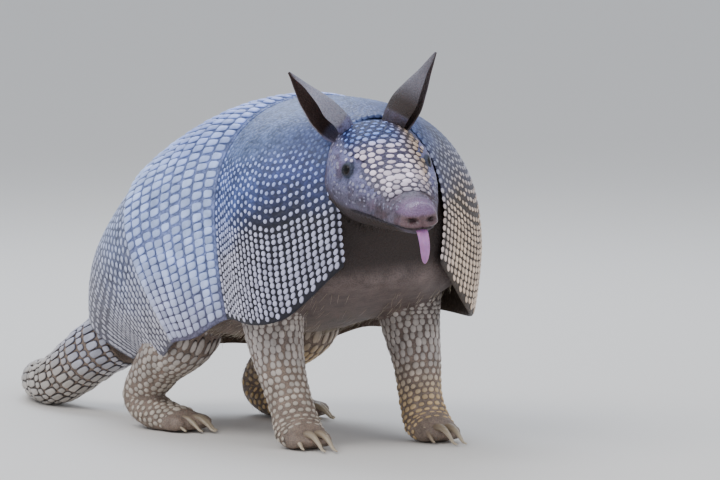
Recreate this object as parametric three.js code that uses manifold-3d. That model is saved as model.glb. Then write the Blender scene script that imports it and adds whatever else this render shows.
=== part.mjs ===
// Nine-banded armadillo, life size, standing with its head low and its tongue out.
// Millimetres. +X is the way the animal heads, +Y is its left, +Z is up, and the floor is z = 0.
// The origin is below the middle of the whole model's box.

import * as THREE from 'three';
import { mergeVertices } from 'three/addons/utils/BufferGeometryUtils.js';
import Module from 'manifold-3d';

const wasm = await Module();
wasm.setup();

// ---------------------------------------------------------------- driving dimensions

// Lengths along the crest of the back, from the front edge of the shell to the tail.
const SHOULDER_LENGTH = 66;
const BANDED_LENGTH = 104;
const PELVIC_LENGTH = 122;
const BAND_COUNT = 9;
const BAND_LENGTH = BANDED_LENGTH / BAND_COUNT;
const BANDS_END = SHOULDER_LENGTH + BANDED_LENGTH;
const BACK_LENGTH = BANDS_END + PELVIC_LENGTH;
const CREST_START = new THREE.Vector3(-9, 11, 168.5);

// Profiles of the shell: [distance along the crest, value].
const HEADING = through([[0, -13], [20, -12], [66, 3], [118, 2], [170, 8], [230, 16], [292, 22]]);
const SLOPE = through([
  [0, -18], [20, -9], [66, 2], [118, 20], [170, 33], [205, 38], [240, 50], [292, 82]]);
const HOOP_TILT = through([[0, 1], [20, 2], [66, 2], [118, 15], [170, 29], [230, 40], [292, 62]]);
const HALF_WIDTH = through([
  [0, 29.5], [20, 58.5], [42, 70], [66, 68], [118, 69], [170, 74], [230, 60], [292, 26]]);
const RISE = through([[0, 40], [20, 62], [66, 59], [118, 64], [170, 60], [230, 54], [292, 30]]);
const SKIRT = through([[0, 34], [20, 46], [66, 54], [118, 54], [170, 48], [230, 38], [292, 14]]);
const BODY_DEPTH = through([[0, 84], [30, 103], [66, 119], [118, 119], [170, 105], [230, 72], [292, 38]]);

// Section of a hoop of the shell: its crown is nearly a half ellipse, and its skirt tucks in.
const CROWN_SHARE = 0.6;
const CROWN_FULLNESS = 0.92;
const SKIRT_TUCK = 0.09;
const FRONT_REACH = 16;
const BELLY_FULLNESS = 0.55;
const BELLY_FLATNESS = 0.75;

const SHELL = 2.6;
const BAND_LIFT = 1.3;
const GAP = 0.35;
const FLESH_INSET = SHELL + 1.8;

// The head, in its own frame: +X out of the nose, +Y to the animal's left, +Z out of the crown.
const HEAD_AT = new THREE.Vector3(0.4, 0.6, 146.5);
const HEAD_HEADING = -19;
const HEAD_PITCH = 8.7;
const HEAD_ROLL = 5;
const OCCIPUT = -16;
const NOSE_TIP = 89;
const HEAD_TOP = through([
  [-16, 9], [-4, 19], [12, 19], [28, 14.5], [44, 8], [60, 2], [74, -2], [84, -4], [89, -7]]);
const HEAD_FLOOR = through([
  [-16, -22], [-4, -27], [12, -28.5], [28, -28], [44, -25.5], [60, -23.5], [78, -22], [85, -20.6],
  [89, -17.5]]);
const HEAD_HALF = through([
  [-16, 13], [-4, 21.5], [12, 26], [28, 25.6], [44, 21.4], [60, 16], [74, 11.7], [84, 9.1], [89, 6.4]]);
const HEAD_ROUNDNESS = 0.86;
const HEAD_SHIELD = { from: -9, to: 70, depth: 1.6, span: 53, flare: 0.2 };
const EYE = { at: [28, 18.2, 2.2], radius: 4.3, brow: 1.2 };
const MOUTH = { corner: 34, height: -16.2, gape: 0.7 };
const TONGUE = { root: 66, width: 6.4, thickness: 2, tip: [90, 0, -33] };

// The tip of the left ear stands higher than the middle, and that of the right ear lower, by its lift.
const EAR = {
  base: [-3.6, 12.4, 12.4], tip: [-8.6, 38.4, 47.8], lift: 1.3, opening: [0.49, 0.83, -0.1], wall: 1.3,
};
// Half depth of the ear towards its opening, half width across it, and how far it curls round.
const EAR_DEPTH = through([
  [0, 5.4], [0.15, 6.8], [0.35, 7.3], [0.55, 5.2], [0.75, 2.6], [0.9, 1.3], [1, 0.3]]);
const EAR_WIDTH = through([[0, 6], [0.15, 7.4], [0.35, 6.2], [0.6, 5.6], [0.8, 3.3], [0.93, 1.1], [1, 0.4]]);
const EAR_CURL = through([[0, 150], [0.3, 115], [0.6, 98], [1, 80]]);

const TAIL_LENGTH = 285;
const TAIL_RADIUS = through([
  [0, 17.5], [40, 15.5], [90, 12], [150, 8.6], [210, 5.8], [260, 3.8], [285, 1.8]]);
const TAIL_HEADING = through([[0, 22], [40, 4], [100, -28], [180, -46], [285, -52]]);
const TAIL_DROP = 28;
const TAIL_DROP_LENGTH = 72;
const TAIL_RINGS = 13;
const TAIL_RING_LENGTH = 14.5;
const RING_STEP = 0.7;
const SOLE_PRESS = 0.8;

// Legs: centre line as [forward, outward, height] from the crest station they hang below,
// with the half width and half depth of the limb at each point.
const FORELEG = {
  crest: 34,
  spread: 37,
  path: [[-8, 0, 90], [-11, 2, 64], [-2, 2, 38], [6, 0, 19.5], [15, 0, 7.3], [28, 0, 5.3]],
  wide: [18, 16, 12.5, 11.5, 13.4, 11.6],
  tall: [20, 17, 13, 11.5, 9, 6.6],
  claws: [[-8.4, 12], [-3, 23], [3, 22], [8.2, 11]],
};
const HINDLEG = {
  crest: 196,
  spread: 44,
  path: [[34, -6, 78], [54, 0, 54], [34, 1, 34], [20, 0, 15.5], [34, 0, 7.2], [58, 0, 5.1]],
  wide: [20, 18, 13.5, 10.5, 12.6, 11.8],
  tall: [24, 19, 13.5, 10.5, 8.8, 6.4],
  claws: [[-10, 9], [-5.2, 14], [0, 16], [5.2, 14], [10, 9]],
};
const CLAW = { root: 2.9, tip: 0.5, sink: 4, arch: 0.16 };

// Finishes: colour, roughness, metalness.
const SLATE = [0x6f7f9b, 0.5, 0];
const BAND_GREY = [0x8791aa, 0.5, 0];
const SKIN_GREY = [0x9a94a6, 0.7, 0];
const BELLY_BROWN = [0x574a44, 0.8, 0];
const CROWN_PALE = [0xcfc6d0, 0.5, 0];
const EAR_BROWN = [0x5b4a4a, 0.7, 0];
const EYE_BLACK = [0x0c0b0c, 0.08, 0];
const TONGUE_PINK = [0xc48cc0, 0.35, 0];
const CLAW_HORN = [0xb9a88c, 0.4, 0];

// ---------------------------------------------------------------- curves and solids

function through(knots) {
  return (x) => {
    const last = knots.length - 1;
    let i = 0;
    while (i < last - 1 && x >= knots[i + 1][0]) i += 1;
    const rise = (k) => {
      const [a, b] = [knots[Math.max(k - 1, 0)], knots[Math.min(k + 1, last)]];
      return (b[1] - a[1]) / (b[0] - a[0]);
    };
    const [[x0, y0], [x1, y1]] = [knots[i], knots[i + 1]];
    const t = THREE.MathUtils.clamp((x - x0) / (x1 - x0), 0, 1);
    const ease = t * t * (3 - 2 * t);
    const pull = rise(i) * t * (1 - t) ** 2 - rise(i + 1) * t * t * (1 - t);
    return y0 + (y1 - y0) * ease + (x1 - x0) * pull;
  };
}

const radians = THREE.MathUtils.degToRad;
const signedPower = (value, power) => Math.sign(value) * Math.abs(value) ** power;

function blend(list, t) {
  const along = THREE.MathUtils.clamp(t, 0, 1) * (list.length - 1);
  return through(list.map((value, i) => [i, value]))(along);
}

// Moves every vertex of a geometry with place(x, y, z) and makes it a solid, faces out.
function shaped(geometry, place) {
  const bare = geometry.clone();
  bare.deleteAttribute('normal');
  bare.deleteAttribute('uv');
  const position = bare.getAttribute('position');
  for (let i = 0; i < position.count; i += 1) {
    const moved = place(position.getX(i), position.getY(i), position.getZ(i));
    position.setXYZ(i, moved.x, moved.y, moved.z);
  }
  const merged = mergeVertices(bare, 1e-4);
  const triangles = withoutSlivers(Array.from(merged.index.array));
  const solid = asSolid(merged.getAttribute('position').array, triangles);
  return solid.volume() > 0 ? solid : asSolid(merged.getAttribute('position').array, triangles.reverse());
}

function withoutSlivers(indices) {
  const kept = [];
  for (let i = 0; i < indices.length; i += 3) {
    const [a, b, c] = indices.slice(i, i + 3);
    if (a !== b && b !== c && c !== a) kept.push(a, b, c);
  }
  return kept;
}

function asSolid(positions, triangles) {
  const vertProperties = Float32Array.from(positions);
  const triVerts = Uint32Array.from(triangles);
  return new wasm.Manifold(new wasm.Mesh({ numProp: 3, vertProperties, triVerts }));
}

// A round body from t = 0 to 1; section(t, angle, fill) gives the point at an angle round it.
function lofted(around, along, section) {
  const rod = new THREE.CylinderGeometry(1, 1, 1, around, along);
  return shaped(rod, (x, y, z) => {
    const fill = Math.min(Math.hypot(x, z), 1);
    return section(y + 0.5, Math.atan2(x, z), fill);
  });
}

// A curved wall; place(u, v, side) has u and v from 0 to 1 and side 1 outside, 0 inside.
function walled(nu, nv, place) {
  const slab = new THREE.BoxGeometry(1, 1, 1, nu, nv, 1);
  return shaped(slab, (x, y, z) => place(x + 0.5, y + 0.5, z + 0.5));
}

// Cuts the tools out of a solid, and drops the crumbs that a grazing cut can leave.
function carved(solid, ...tools) {
  const rest = tools.reduce((left, tool) => left.subtract(tool), solid);
  return rest.decompose().sort((a, b) => b.volume() - a.volume())[0];
}

const floorBlock = shaped(
  new THREE.BoxGeometry(1200, 1200, 100), (x, y, z) => new THREE.Vector3(x, y, z - 50));

// ---------------------------------------------------------------- the crest and the hoops

const crestPoints = [CREST_START.clone()];
for (let s = 0; s < BACK_LENGTH; s += 1) {
  const back = crestPoints[s].clone();
  const level = Math.cos(radians(SLOPE(s)));
  back.x -= level * Math.cos(radians(HEADING(s)));
  back.y -= level * Math.sin(radians(HEADING(s)));
  back.z -= Math.sin(radians(SLOPE(s)));
  crestPoints.push(back);
}

function crestAt(s) {
  const i = THREE.MathUtils.clamp(Math.floor(s), 0, BACK_LENGTH - 1);
  return crestPoints[i].clone().lerp(crestPoints[i + 1], s - i);
}

// Axes of the hoop at s: left, up along the hoop's plane, ahead out of it, and level ahead.
function hoopAxes(s) {
  const heading = radians(HEADING(s));
  const tilt = radians(HOOP_TILT(s));
  const level = new THREE.Vector3(Math.cos(heading), Math.sin(heading), 0);
  const left = new THREE.Vector3(-level.y, level.x, 0);
  const up = level.clone().multiplyScalar(-Math.sin(tilt)).setZ(Math.cos(tilt));
  const ahead = level.clone().multiplyScalar(Math.cos(tilt)).setZ(Math.sin(tilt));
  return { level, left, up, ahead };
}

// Outer face of the shell: v runs from -1 at the right margin over the crest to 1 at the left.
function shellPoint(s, v, lift) {
  const { left, up, ahead } = hoopAxes(s);
  const share = Math.abs(v);
  const angle = Math.min(share / CROWN_SHARE, 1) * (Math.PI / 2);
  const skirt = Math.max((share - CROWN_SHARE) / (1 - CROWN_SHARE), 0);
  const across = Math.sin(angle) ** CROWN_FULLNESS - SKIRT_TUCK * skirt * skirt;
  const fall = 1 - Math.max(Math.cos(angle), 0) ** CROWN_FULLNESS;
  const drop = (RISE(s) + lift) * fall + SKIRT(s) * skirt - lift;
  const reach = FRONT_REACH * Math.max(1 - s / SHOULDER_LENGTH, 0) * Math.min(drop / RISE(s), 1.2);
  return crestAt(s)
    .addScaledVector(left, Math.sign(v) * (HALF_WIDTH(s) + lift) * across)
    .addScaledVector(up, -drop)
    .addScaledVector(ahead, Math.max(reach, 0));
}

// Outline of the flesh inside the shell, round from the crest to the belly.
function bodyPoint(s, angle, fill, grow) {
  const { left, up, ahead } = hoopAxes(s);
  const inset = FLESH_INSET - grow;
  const sine = Math.abs(Math.sin(angle));
  const cosine = Math.cos(angle);
  const upper = cosine >= 0;
  const across = (HALF_WIDTH(s) - inset) * sine ** (upper ? CROWN_FULLNESS : BELLY_FULLNESS);
  const rise = RISE(s) - inset;
  const below = BODY_DEPTH(s) + grow - inset - rise;
  const height = upper ? rise * cosine ** CROWN_FULLNESS : -below * Math.abs(cosine) ** BELLY_FLATNESS;
  const reach = FRONT_REACH * Math.max(1 - s / SHOULDER_LENGTH, 0) * Math.min(1 - height / RISE(s), 1.2);
  return crestAt(s)
    .addScaledVector(left, Math.sign(angle) * across * fill)
    .addScaledVector(up, height * fill - inset - rise)
    .addScaledVector(ahead, Math.max(reach, 0));
}

function plate(from, to, rows, columns, liftAt, grow = 0) {
  return walled(rows, columns, (u, v, side) => {
    const beyond = u < 0.01 ? -grow : u > 0.99 ? grow : 0;
    const s = THREE.MathUtils.lerp(from, to, u) + beyond;
    const lift = side > 0.5 ? liftAt(u) + grow : -SHELL - 2 * grow;
    const reach = 1 + grow / (HALF_WIDTH(s) * 1.6);
    return shellPoint(s, (2 * v - 1) * reach, lift);
  });
}

const HOOP_FACETS = 18;
const flush = () => 0;
const raised = (u) => BAND_LIFT * u;
const scapularPlate = (grow) => plate(0, SHOULDER_LENGTH - GAP, 6, HOOP_FACETS, flush, grow);
const pelvicPlate = (grow) => plate(BANDS_END + GAP, BACK_LENGTH, 6, HOOP_FACETS, flush, grow);
const bandPlate = (i, grow) => {
  const start = SHOULDER_LENGTH + i * BAND_LENGTH;
  return plate(start + GAP / 2, start + BAND_LENGTH - GAP / 2, 1, HOOP_FACETS, raised, grow);
};

const TRUNK_FRONT = 4;
const TRUNK_REAR = BACK_LENGTH - 8;
function trunk(grow) {
  return lofted(18, 9, (t, angle, fill) => {
    const s = THREE.MathUtils.lerp(TRUNK_FRONT - grow, TRUNK_REAR + grow, t);
    const dome = Math.min(1, 0.86 + Math.min(t, 1 - t) * 2.4);
    return bodyPoint(s, angle, fill * dome, grow);
  });
}

// ---------------------------------------------------------------- the head

const headFrame = new THREE.Matrix4()
  .makeRotationFromEuler(new THREE.Euler(
    radians(HEAD_ROLL), radians(HEAD_PITCH), radians(HEAD_HEADING), 'ZYX'))
  .setPosition(HEAD_AT);
const onHead = (x, y, z) => new THREE.Vector3(x, y, z).applyMatrix4(headFrame);

function headLocal(x, angle, fill, grow) {
  const middle = (HEAD_TOP(x) + HEAD_FLOOR(x)) / 2;
  const tall = (HEAD_TOP(x) - HEAD_FLOOR(x)) / 2 + grow;
  const half = HEAD_HALF(x) + grow;
  const y = half * signedPower(Math.sin(angle), HEAD_ROUNDNESS) * fill;
  const z = middle + tall * signedPower(Math.cos(angle), HEAD_ROUNDNESS) * fill;
  return [x, y, z];
}

function headWhole(grow) {
  return lofted(18, 12, (t, angle, fill) => {
    const eased = 0.5 - Math.cos(Math.PI * t) / 2;
    const x = THREE.MathUtils.lerp(OCCIPUT, NOSE_TIP, 0.35 * eased + 0.65 * t);
    const dome = Math.min(1, 0.8 + (1 - t) * 5) * Math.min(1, 0.85 + t * 3);
    const [px, py, pz] = headLocal(x, angle, fill * dome, grow);
    return onHead(px + (t > 0.5 ? grow : -grow) * Math.round(Math.abs(2 * t - 1)), py, pz);
  });
}

function headShield(grow, outside = grow) {
  const { from, to, depth, span, flare } = HEAD_SHIELD;
  return walled(7, 7, (u, v, side) => {
    const x = THREE.MathUtils.lerp(from - grow, to + grow, u);
    const angle = radians((span * (1 + flare * u * u) + 2 * grow) * (2 * v - 1));
    return onHead(...headLocal(x, angle, 1, side > 0.5 ? 0.2 + outside : -depth - grow));
  });
}

function eyeball(side, grow) {
  const [x, y, z] = EYE.at;
  const ball = new THREE.SphereGeometry(EYE.radius + grow, 8, 6);
  return shaped(ball, (bx, by, bz) => onHead(x + bx, side * y + by, z + bz));
}

// Everything of the head below the mouth line, ahead of the corner of the mouth.
function jawSpace(grow) {
  const { corner, height } = MOUTH;
  const block = new THREE.BoxGeometry(NOSE_TIP - corner + 20, 60, 40);
  const middle = (NOSE_TIP + corner + 20) / 2;
  return shaped(block, (x, y, z) => {
    const back = x < 0 ? grow : 0;
    const above = z > 0 ? grow : 0;
    return onHead(middle + x - back, y, height - 20 + z + above);
  });
}

function tongue(grow) {
  const [tipX, , tipZ] = TONGUE.tip;
  const line = new THREE.CatmullRomCurve3([
    new THREE.Vector3(TONGUE.root, 0, MOUTH.height),
    new THREE.Vector3(80, 0, MOUTH.height - 0.4),
    new THREE.Vector3(87.6, 0, MOUTH.height - 1.6),
    new THREE.Vector3(tipX + 1, 0, MOUTH.height - 8),
    new THREE.Vector3(tipX, 0, tipZ),
  ]);
  return lofted(8, 9, (t, angle, fill) => {
    const centre = line.getPointAt(t);
    const run = line.getTangentAt(t);
    const narrowing = Math.sqrt(Math.max(1 - (2 * Math.max(t - 0.5, 0)) ** 4 * 0.9, 0));
    const across = (TONGUE.width / 2 * (1 - 0.25 * t) * narrowing + grow) * Math.sin(angle) * fill;
    const thick = (TONGUE.thickness / 2 + grow) * Math.cos(angle) * fill;
    return onHead(centre.x - run.z * thick, across, centre.z + run.x * thick);
  });
}

// An ear is a curled leaf: nearly a tube at its base, open to the side, pointed at its tip.
function ear(side) {
  const base = new THREE.Vector3(EAR.base[0], side * EAR.base[1], EAR.base[2]);
  const tip = new THREE.Vector3(EAR.tip[0], side * EAR.tip[1], EAR.tip[2] + side * EAR.lift);
  const axis = tip.clone().sub(base);
  const run = axis.clone().normalize();
  const opening = new THREE.Vector3(EAR.opening[0], side * EAR.opening[1], EAR.opening[2]);
  opening.addScaledVector(run, -opening.dot(run)).normalize();
  const across = new THREE.Vector3().crossVectors(run, opening);
  return walled(8, 6, (u, v, skin) => {
    const curl = radians(EAR_CURL(u));
    const turn = curl * (2 * v - 1);
    const deep = 2 * EAR_DEPTH(u) / (1 - Math.cos(curl));
    const proud = (skin - 0.5) * EAR.wall * (1 - 0.4 * u);
    const at = base.clone().addScaledVector(axis, u);
    at.addScaledVector(opening, deep - EAR_DEPTH(u) * 1.14 - Math.cos(turn) * (deep + proud));
    at.addScaledVector(across, Math.sin(turn) * (EAR_WIDTH(u) + proud));
    return onHead(at.x, at.y, at.z);
  });
}

// The neck runs from inside the shell's front opening to the back of the head.
function neck(grow) {
  return lofted(12, 3, (t, angle, fill) => {
    const body = bodyPoint(TRUNK_FRONT + 3, angle, 0.95 * fill, grow);
    const skull = onHead(...headLocal(8, angle, 0.9 * fill, grow));
    return body.lerp(skull, t ** 1.7);
  });
}

// ---------------------------------------------------------------- tail and legs

const tailRoot = (() => {
  const { up } = hoopAxes(BACK_LENGTH);
  return crestAt(BACK_LENGTH).addScaledVector(up, -TAIL_RADIUS(0) - 1.5);
})();

function tailHeight(distance) {
  const settled = THREE.MathUtils.smoothstep(distance, -18, TAIL_DROP_LENGTH);
  return TAIL_RADIUS(distance) - SOLE_PRESS + TAIL_DROP * (1 - settled);
}

const tailPoints = [tailRoot.clone().setZ(tailHeight(0))];
for (let d = 0; d < TAIL_LENGTH; d += 1) {
  const heading = radians(TAIL_HEADING(d));
  const fall = tailHeight(d + 1) - tailHeight(d);
  const level = Math.sqrt(1 - fall * fall);
  const next = tailPoints[d].clone();
  next.x -= Math.cos(heading) * level;
  next.y -= Math.sin(heading) * level;
  next.z = tailHeight(d + 1);
  tailPoints.push(next);
}

function tailPoint(distance, angle, radius) {
  const d = THREE.MathUtils.clamp(distance, 0, TAIL_LENGTH);
  const i = Math.min(Math.floor(d), TAIL_LENGTH - 1);
  const run = tailPoints[i + 1].clone().sub(tailPoints[i]).normalize();
  const side = new THREE.Vector3(run.y, -run.x, 0).normalize();
  const up = new THREE.Vector3().crossVectors(side, run);
  return tailPoints[i].clone().lerp(tailPoints[i + 1], d - i)
    .addScaledVector(side, Math.sin(angle) * radius)
    .addScaledVector(up, Math.cos(angle) * radius);
}

// A length of tail whose armour steps down at the front edge of each ring.
function tailSpan(from, to, ringed) {
  const rings = Math.round((to - from) / TAIL_RING_LENGTH);
  const steps = ringed ? rings * 2 - 1 : 6;
  const around = ringed ? 10 : 8;
  return lofted(around, steps, (t, angle, fill) => {
    const row = Math.round(t * steps);
    const along = ringed ? Math.floor((row + 1) / 2) * TAIL_RING_LENGTH : t * (to - from);
    const step = ringed && row % 2 === 1 ? RING_STEP : 0;
    const shift = ringed && row % 2 === 0 && row > 0 ? 0.6 : 0;
    const distance = Math.min(from + along + shift, to);
    return tailPoint(distance, angle, (TAIL_RADIUS(distance) + step - RING_STEP) * fill);
  });
}

function legLine(leg, side) {
  const { level, left } = hoopAxes(leg.crest);
  const top = crestAt(leg.crest);
  return new THREE.CatmullRomCurve3(leg.path.map(([forward, outward, height]) => (
    new THREE.Vector3(top.x, top.y, height)
      .addScaledVector(level, forward)
      .addScaledVector(left, side * (leg.spread + outward)))));
}

function limb(leg, side, grow) {
  const line = legLine(leg, side);
  const { left } = hoopAxes(leg.crest);
  return lofted(10, 10, (t, angle, fill) => {
    const run = line.getTangent(t);
    const front = new THREE.Vector3().crossVectors(left, run).normalize();
    const dome = Math.min(1, 0.62 + (1 - t) * 5);
    const wide = (blend(leg.wide, t) * dome + grow) * fill;
    const tall = (blend(leg.tall, t) * dome + grow) * fill;
    return line.getPoint(t)
      .addScaledVector(left, Math.sin(angle) * wide)
      .addScaledVector(front, Math.cos(angle) * tall);
  });
}

function claw(leg, side, [offset, length]) {
  const { level, left } = hoopAxes(leg.crest);
  const toe = legLine(leg, side).getPoint(1);
  const root = toe.addScaledVector(left, side * offset);
  const setBack = CLAW.sink + Math.abs(offset) * 0.45;
  return lofted(6, 3, (t, angle, fill) => {
    const reach = length + CLAW.sink;
    const radius = THREE.MathUtils.lerp(CLAW.root, CLAW.tip, t ** 1.3) * fill;
    const bow = reach * CLAW.arch * Math.sin(Math.PI * Math.min(t * 1.15, 1));
    const drop = (root.z - 1.4) * t;
    return root.clone()
      .addScaledVector(level, reach * t - setBack)
      .addScaledVector(left, Math.sin(angle) * radius)
      .add(new THREE.Vector3(0, 0, bow - drop + Math.cos(angle) * radius));
  });
}

// ---------------------------------------------------------------- the whole animal

const animal = new THREE.Group();

function add(name, solid, [color, roughness, metalness]) {
  const { vertProperties, triVerts } = solid.getMesh();
  const geometry = new THREE.BufferGeometry();
  geometry.setAttribute('position', new THREE.BufferAttribute(Float32Array.from(vertProperties), 3));
  geometry.setIndex(new THREE.BufferAttribute(Uint32Array.from(triVerts), 1));
  geometry.computeVertexNormals();
  const mesh = new THREE.Mesh(geometry, new THREE.MeshStandardMaterial({ color, roughness, metalness }));
  mesh.name = name;
  animal.add(mesh);
}

const sides = [['left', 1], ['right', -1]];
const scapularRoom = scapularPlate(2 * GAP);
const pelvicRoom = pelvicPlate(GAP);
const bandRoom = [...Array(BAND_COUNT).keys()].map((i) => bandPlate(i, GAP));
const trunkRoom = trunk(GAP);
const headRoom = headWhole(GAP);
const headShieldRoom = headShield(GAP, 8);

add('scapular_shield', scapularPlate(0), SLATE);
for (let i = 0; i < BAND_COUNT; i += 1) {
  add(`band_${i + 1}`, bandPlate(i, 0), BAND_GREY);
}
add('pelvic_shield', pelvicPlate(0), SLATE);
add('trunk', carved(trunk(0), headRoom), BELLY_BROWN);

const eyeRooms = sides.map(([, side]) => eyeball(side, GAP));
const headSolid = carved(headWhole(0), headShieldRoom, ...eyeRooms, tongue(GAP), scapularRoom);
add('head', carved(headSolid, jawSpace(MOUTH.gape)), SKIN_GREY);
add('lower_jaw', headSolid.intersect(jawSpace(0)), SKIN_GREY);
const browRooms = sides.map(([, side]) => eyeball(side, EYE.brow));
add('head_shield', carved(headShield(0), scapularRoom, ...browRooms), CROWN_PALE);
add('tongue', tongue(0), TONGUE_PINK);
add('neck', carved(neck(0), headRoom, headShieldRoom, trunkRoom, scapularRoom), BELLY_BROWN);
const neckRoom = neck(GAP);
for (const [name, side] of sides) {
  add(`eye_${name}`, eyeball(side, 0), EYE_BLACK);
  add(`ear_${name}`, carved(ear(side), headRoom, headShieldRoom, scapularRoom, neckRoom), EAR_BROWN);
}

const tailBaseEnd = 6 * TAIL_RING_LENGTH;
const tailMiddleEnd = TAIL_RINGS * TAIL_RING_LENGTH;
add('tail_base', carved(tailSpan(0, tailBaseEnd, true), floorBlock, trunkRoom, pelvicRoom), SLATE);
add('tail_middle', carved(tailSpan(tailBaseEnd + GAP, tailMiddleEnd, true), floorBlock), SLATE);
add('tail_tip', carved(tailSpan(tailMiddleEnd + GAP, TAIL_LENGTH, false), floorBlock), SLATE);

for (const [end, leg] of [['foreleg', FORELEG], ['hindleg', HINDLEG]]) {
  for (const [name, side] of sides) {
    const flesh = carved(limb(leg, side, 0), floorBlock, trunkRoom, scapularRoom, pelvicRoom, ...bandRoom);
    add(`${end}_${name}`, flesh, BELLY_BROWN);
    const room = limb(leg, side, GAP);
    leg.claws.forEach((toe, i) => {
      add(`${end}_${name}_claw_${i + 1}`, carved(claw(leg, side, toe), room, floorBlock), CLAW_HORN);
    });
  }
}

const box = new THREE.Box3().setFromObject(animal);
animal.position.set(-(box.min.x + box.max.x) / 2, -(box.min.y + box.max.y) / 2, -box.min.z);

export default animal;
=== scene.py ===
# %% [markdown]
# # A nine-banded armadillo
# A life-size still model of an armadillo, standing with its head low and its tongue out. The solids
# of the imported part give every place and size. This lesson dresses them: one skin without a seam, a
# shell of thin plates, scutes standing on the plates, and the eyes, tongue, claws and few hairs.
# Everything is in metres in the part's own frame: +X is the way it heads, +Y is its left, +Z is up.

# %% Load the part
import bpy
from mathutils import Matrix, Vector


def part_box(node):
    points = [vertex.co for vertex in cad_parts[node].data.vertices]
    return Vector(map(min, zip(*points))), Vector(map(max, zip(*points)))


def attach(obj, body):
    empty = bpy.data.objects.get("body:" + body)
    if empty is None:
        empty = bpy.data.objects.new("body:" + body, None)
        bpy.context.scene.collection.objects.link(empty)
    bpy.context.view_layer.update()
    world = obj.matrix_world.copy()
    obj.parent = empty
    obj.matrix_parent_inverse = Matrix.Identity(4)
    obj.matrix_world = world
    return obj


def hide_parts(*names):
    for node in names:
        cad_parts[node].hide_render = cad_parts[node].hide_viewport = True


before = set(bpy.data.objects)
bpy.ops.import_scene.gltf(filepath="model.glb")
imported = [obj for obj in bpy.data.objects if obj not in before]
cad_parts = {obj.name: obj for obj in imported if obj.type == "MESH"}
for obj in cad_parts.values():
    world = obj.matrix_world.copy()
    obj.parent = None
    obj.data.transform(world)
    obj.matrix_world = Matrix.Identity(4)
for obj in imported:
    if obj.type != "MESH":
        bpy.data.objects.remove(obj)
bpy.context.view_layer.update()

# %% Tools of the trade
import math
import bmesh
import bpy
import numpy as np
from mathutils import Euler, Matrix, Vector
from mathutils.bvhtree import BVHTree

rng = np.random.default_rng(9)
MM = 0.001


def in_scene(name, data):
    """A new object that shows its data in the scene."""
    made = bpy.data.objects.new(name, data)
    bpy.context.scene.collection.objects.link(made)
    return made


def unit(vectors):
    return vectors / np.linalg.norm(vectors, axis=-1, keepdims=True)


def spread_out(*values):
    """The values as arrays of numbers, all of one shape."""
    return np.broadcast_arrays(*(np.asarray(value, float) for value in values))


def corners_of(verts):
    return np.array([v.co[:] for v in verts])


def line_length(points):
    return np.linalg.norm(np.diff(points, axis=0), axis=1).sum()


print("numpy", np.__version__, "lays out what repeats; bmesh makes the shapes")

# %% [markdown]
# ## Curves that the whole body hangs on
# A body is drawn as a few stations along a line, each with a width and a depth. A smooth curve through
# those stations keeps every shape free of corners. numpy lets one call work out thousands of points.

# %% A smooth curve through stations
def through(knots):
    """A smooth curve through [place, value] stations, level beyond the first and the last."""
    xs, ys = np.array(knots, float).T
    rise = np.gradient(ys, xs)
    rise[1:-1] = (ys[2:] - ys[:-2]) / (xs[2:] - xs[:-2])

    def curve(x):
        x = np.asarray(x, float)
        i = np.clip(np.searchsorted(xs, x, side="right") - 1, 0, len(xs) - 2)
        width = xs[i + 1] - xs[i]
        t = np.clip((x - xs[i]) / width, 0, 1)
        pull = rise[i] * t * (1 - t) ** 2 - rise[i + 1] * t * t * (1 - t)
        return ys[i] + (ys[i + 1] - ys[i]) * t * t * (3 - 2 * t) + width * pull

    return curve


def signed_power(value, power):
    return np.sign(value) * np.abs(value) ** power


def smooth_step(low, high, x):
    t = np.clip((np.asarray(x, float) - low) / (high - low), 0, 1)
    return t * t * (3 - 2 * t)


def hump(value, middle, width):
    """A soft ridge, 1 where the value is at its middle."""
    return np.exp(-((value - middle) / width) ** 2)


print("halfway up a test curve:", float(through([[0, 0], [1, 1]])(0.5)))

# %% [markdown]
# ## The crest and its hoops
# The shell is a row of hoops strung along the crest of the back. Each hoop has a heading, a tilt, a
# width and a drop, in millimetres, at its distance along the crest. The nine bands in the middle are
# what lets the real animal bend, and here they fan a little, as the back turns.

# %% Stations of the back
SHOULDER, BANDS, BAND_LENGTH, BACK = 66.0, 9, 104.0 / 9, 292.0
BANDS_END = SHOULDER + BANDS * BAND_LENGTH
BAND_STARTS = [SHOULDER + number * BAND_LENGTH for number in range(BANDS)]
CREST_START = np.array([-9.0, 11.0, 168.5])
HEADING = through([[0, -13], [20, -12], [66, 3], [118, 2], [170, 8], [230, 16], [292, 22]])
SLOPE = through([[0, -18], [20, -9], [66, 2], [118, 20], [170, 33], [205, 38], [240, 50], [292, 82]])
HOOP_TILT = through([[0, 1], [20, 2], [66, 2], [118, 15], [170, 29], [230, 40], [292, 62]])
HALF_WIDTH = through(
    [[0, 29.5], [20, 58.5], [42, 70], [66, 68], [118, 69], [170, 74], [230, 60], [292, 26]])
RISE = through([[0, 40], [20, 62], [66, 59], [118, 64], [170, 60], [230, 54], [292, 30]])
SKIRT = through([[0, 34], [20, 46], [66, 54], [118, 54], [170, 48], [230, 38], [292, 14]])
BODY_DEPTH = through([[0, 84], [30, 103], [66, 119], [118, 119], [170, 105], [230, 72], [292, 38]])
CROWN_SHARE, CROWN_FULLNESS, SKIRT_TUCK, FRONT_REACH = 0.6, 0.92, 0.09, 16.0
SHELL, BAND_LIFT, GAP = 2.6, 1.3, 0.35
SCUTE_HEIGHT = 1.0
print("nine bands of", round(BAND_LENGTH, 2), "mm between two shields")

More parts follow.
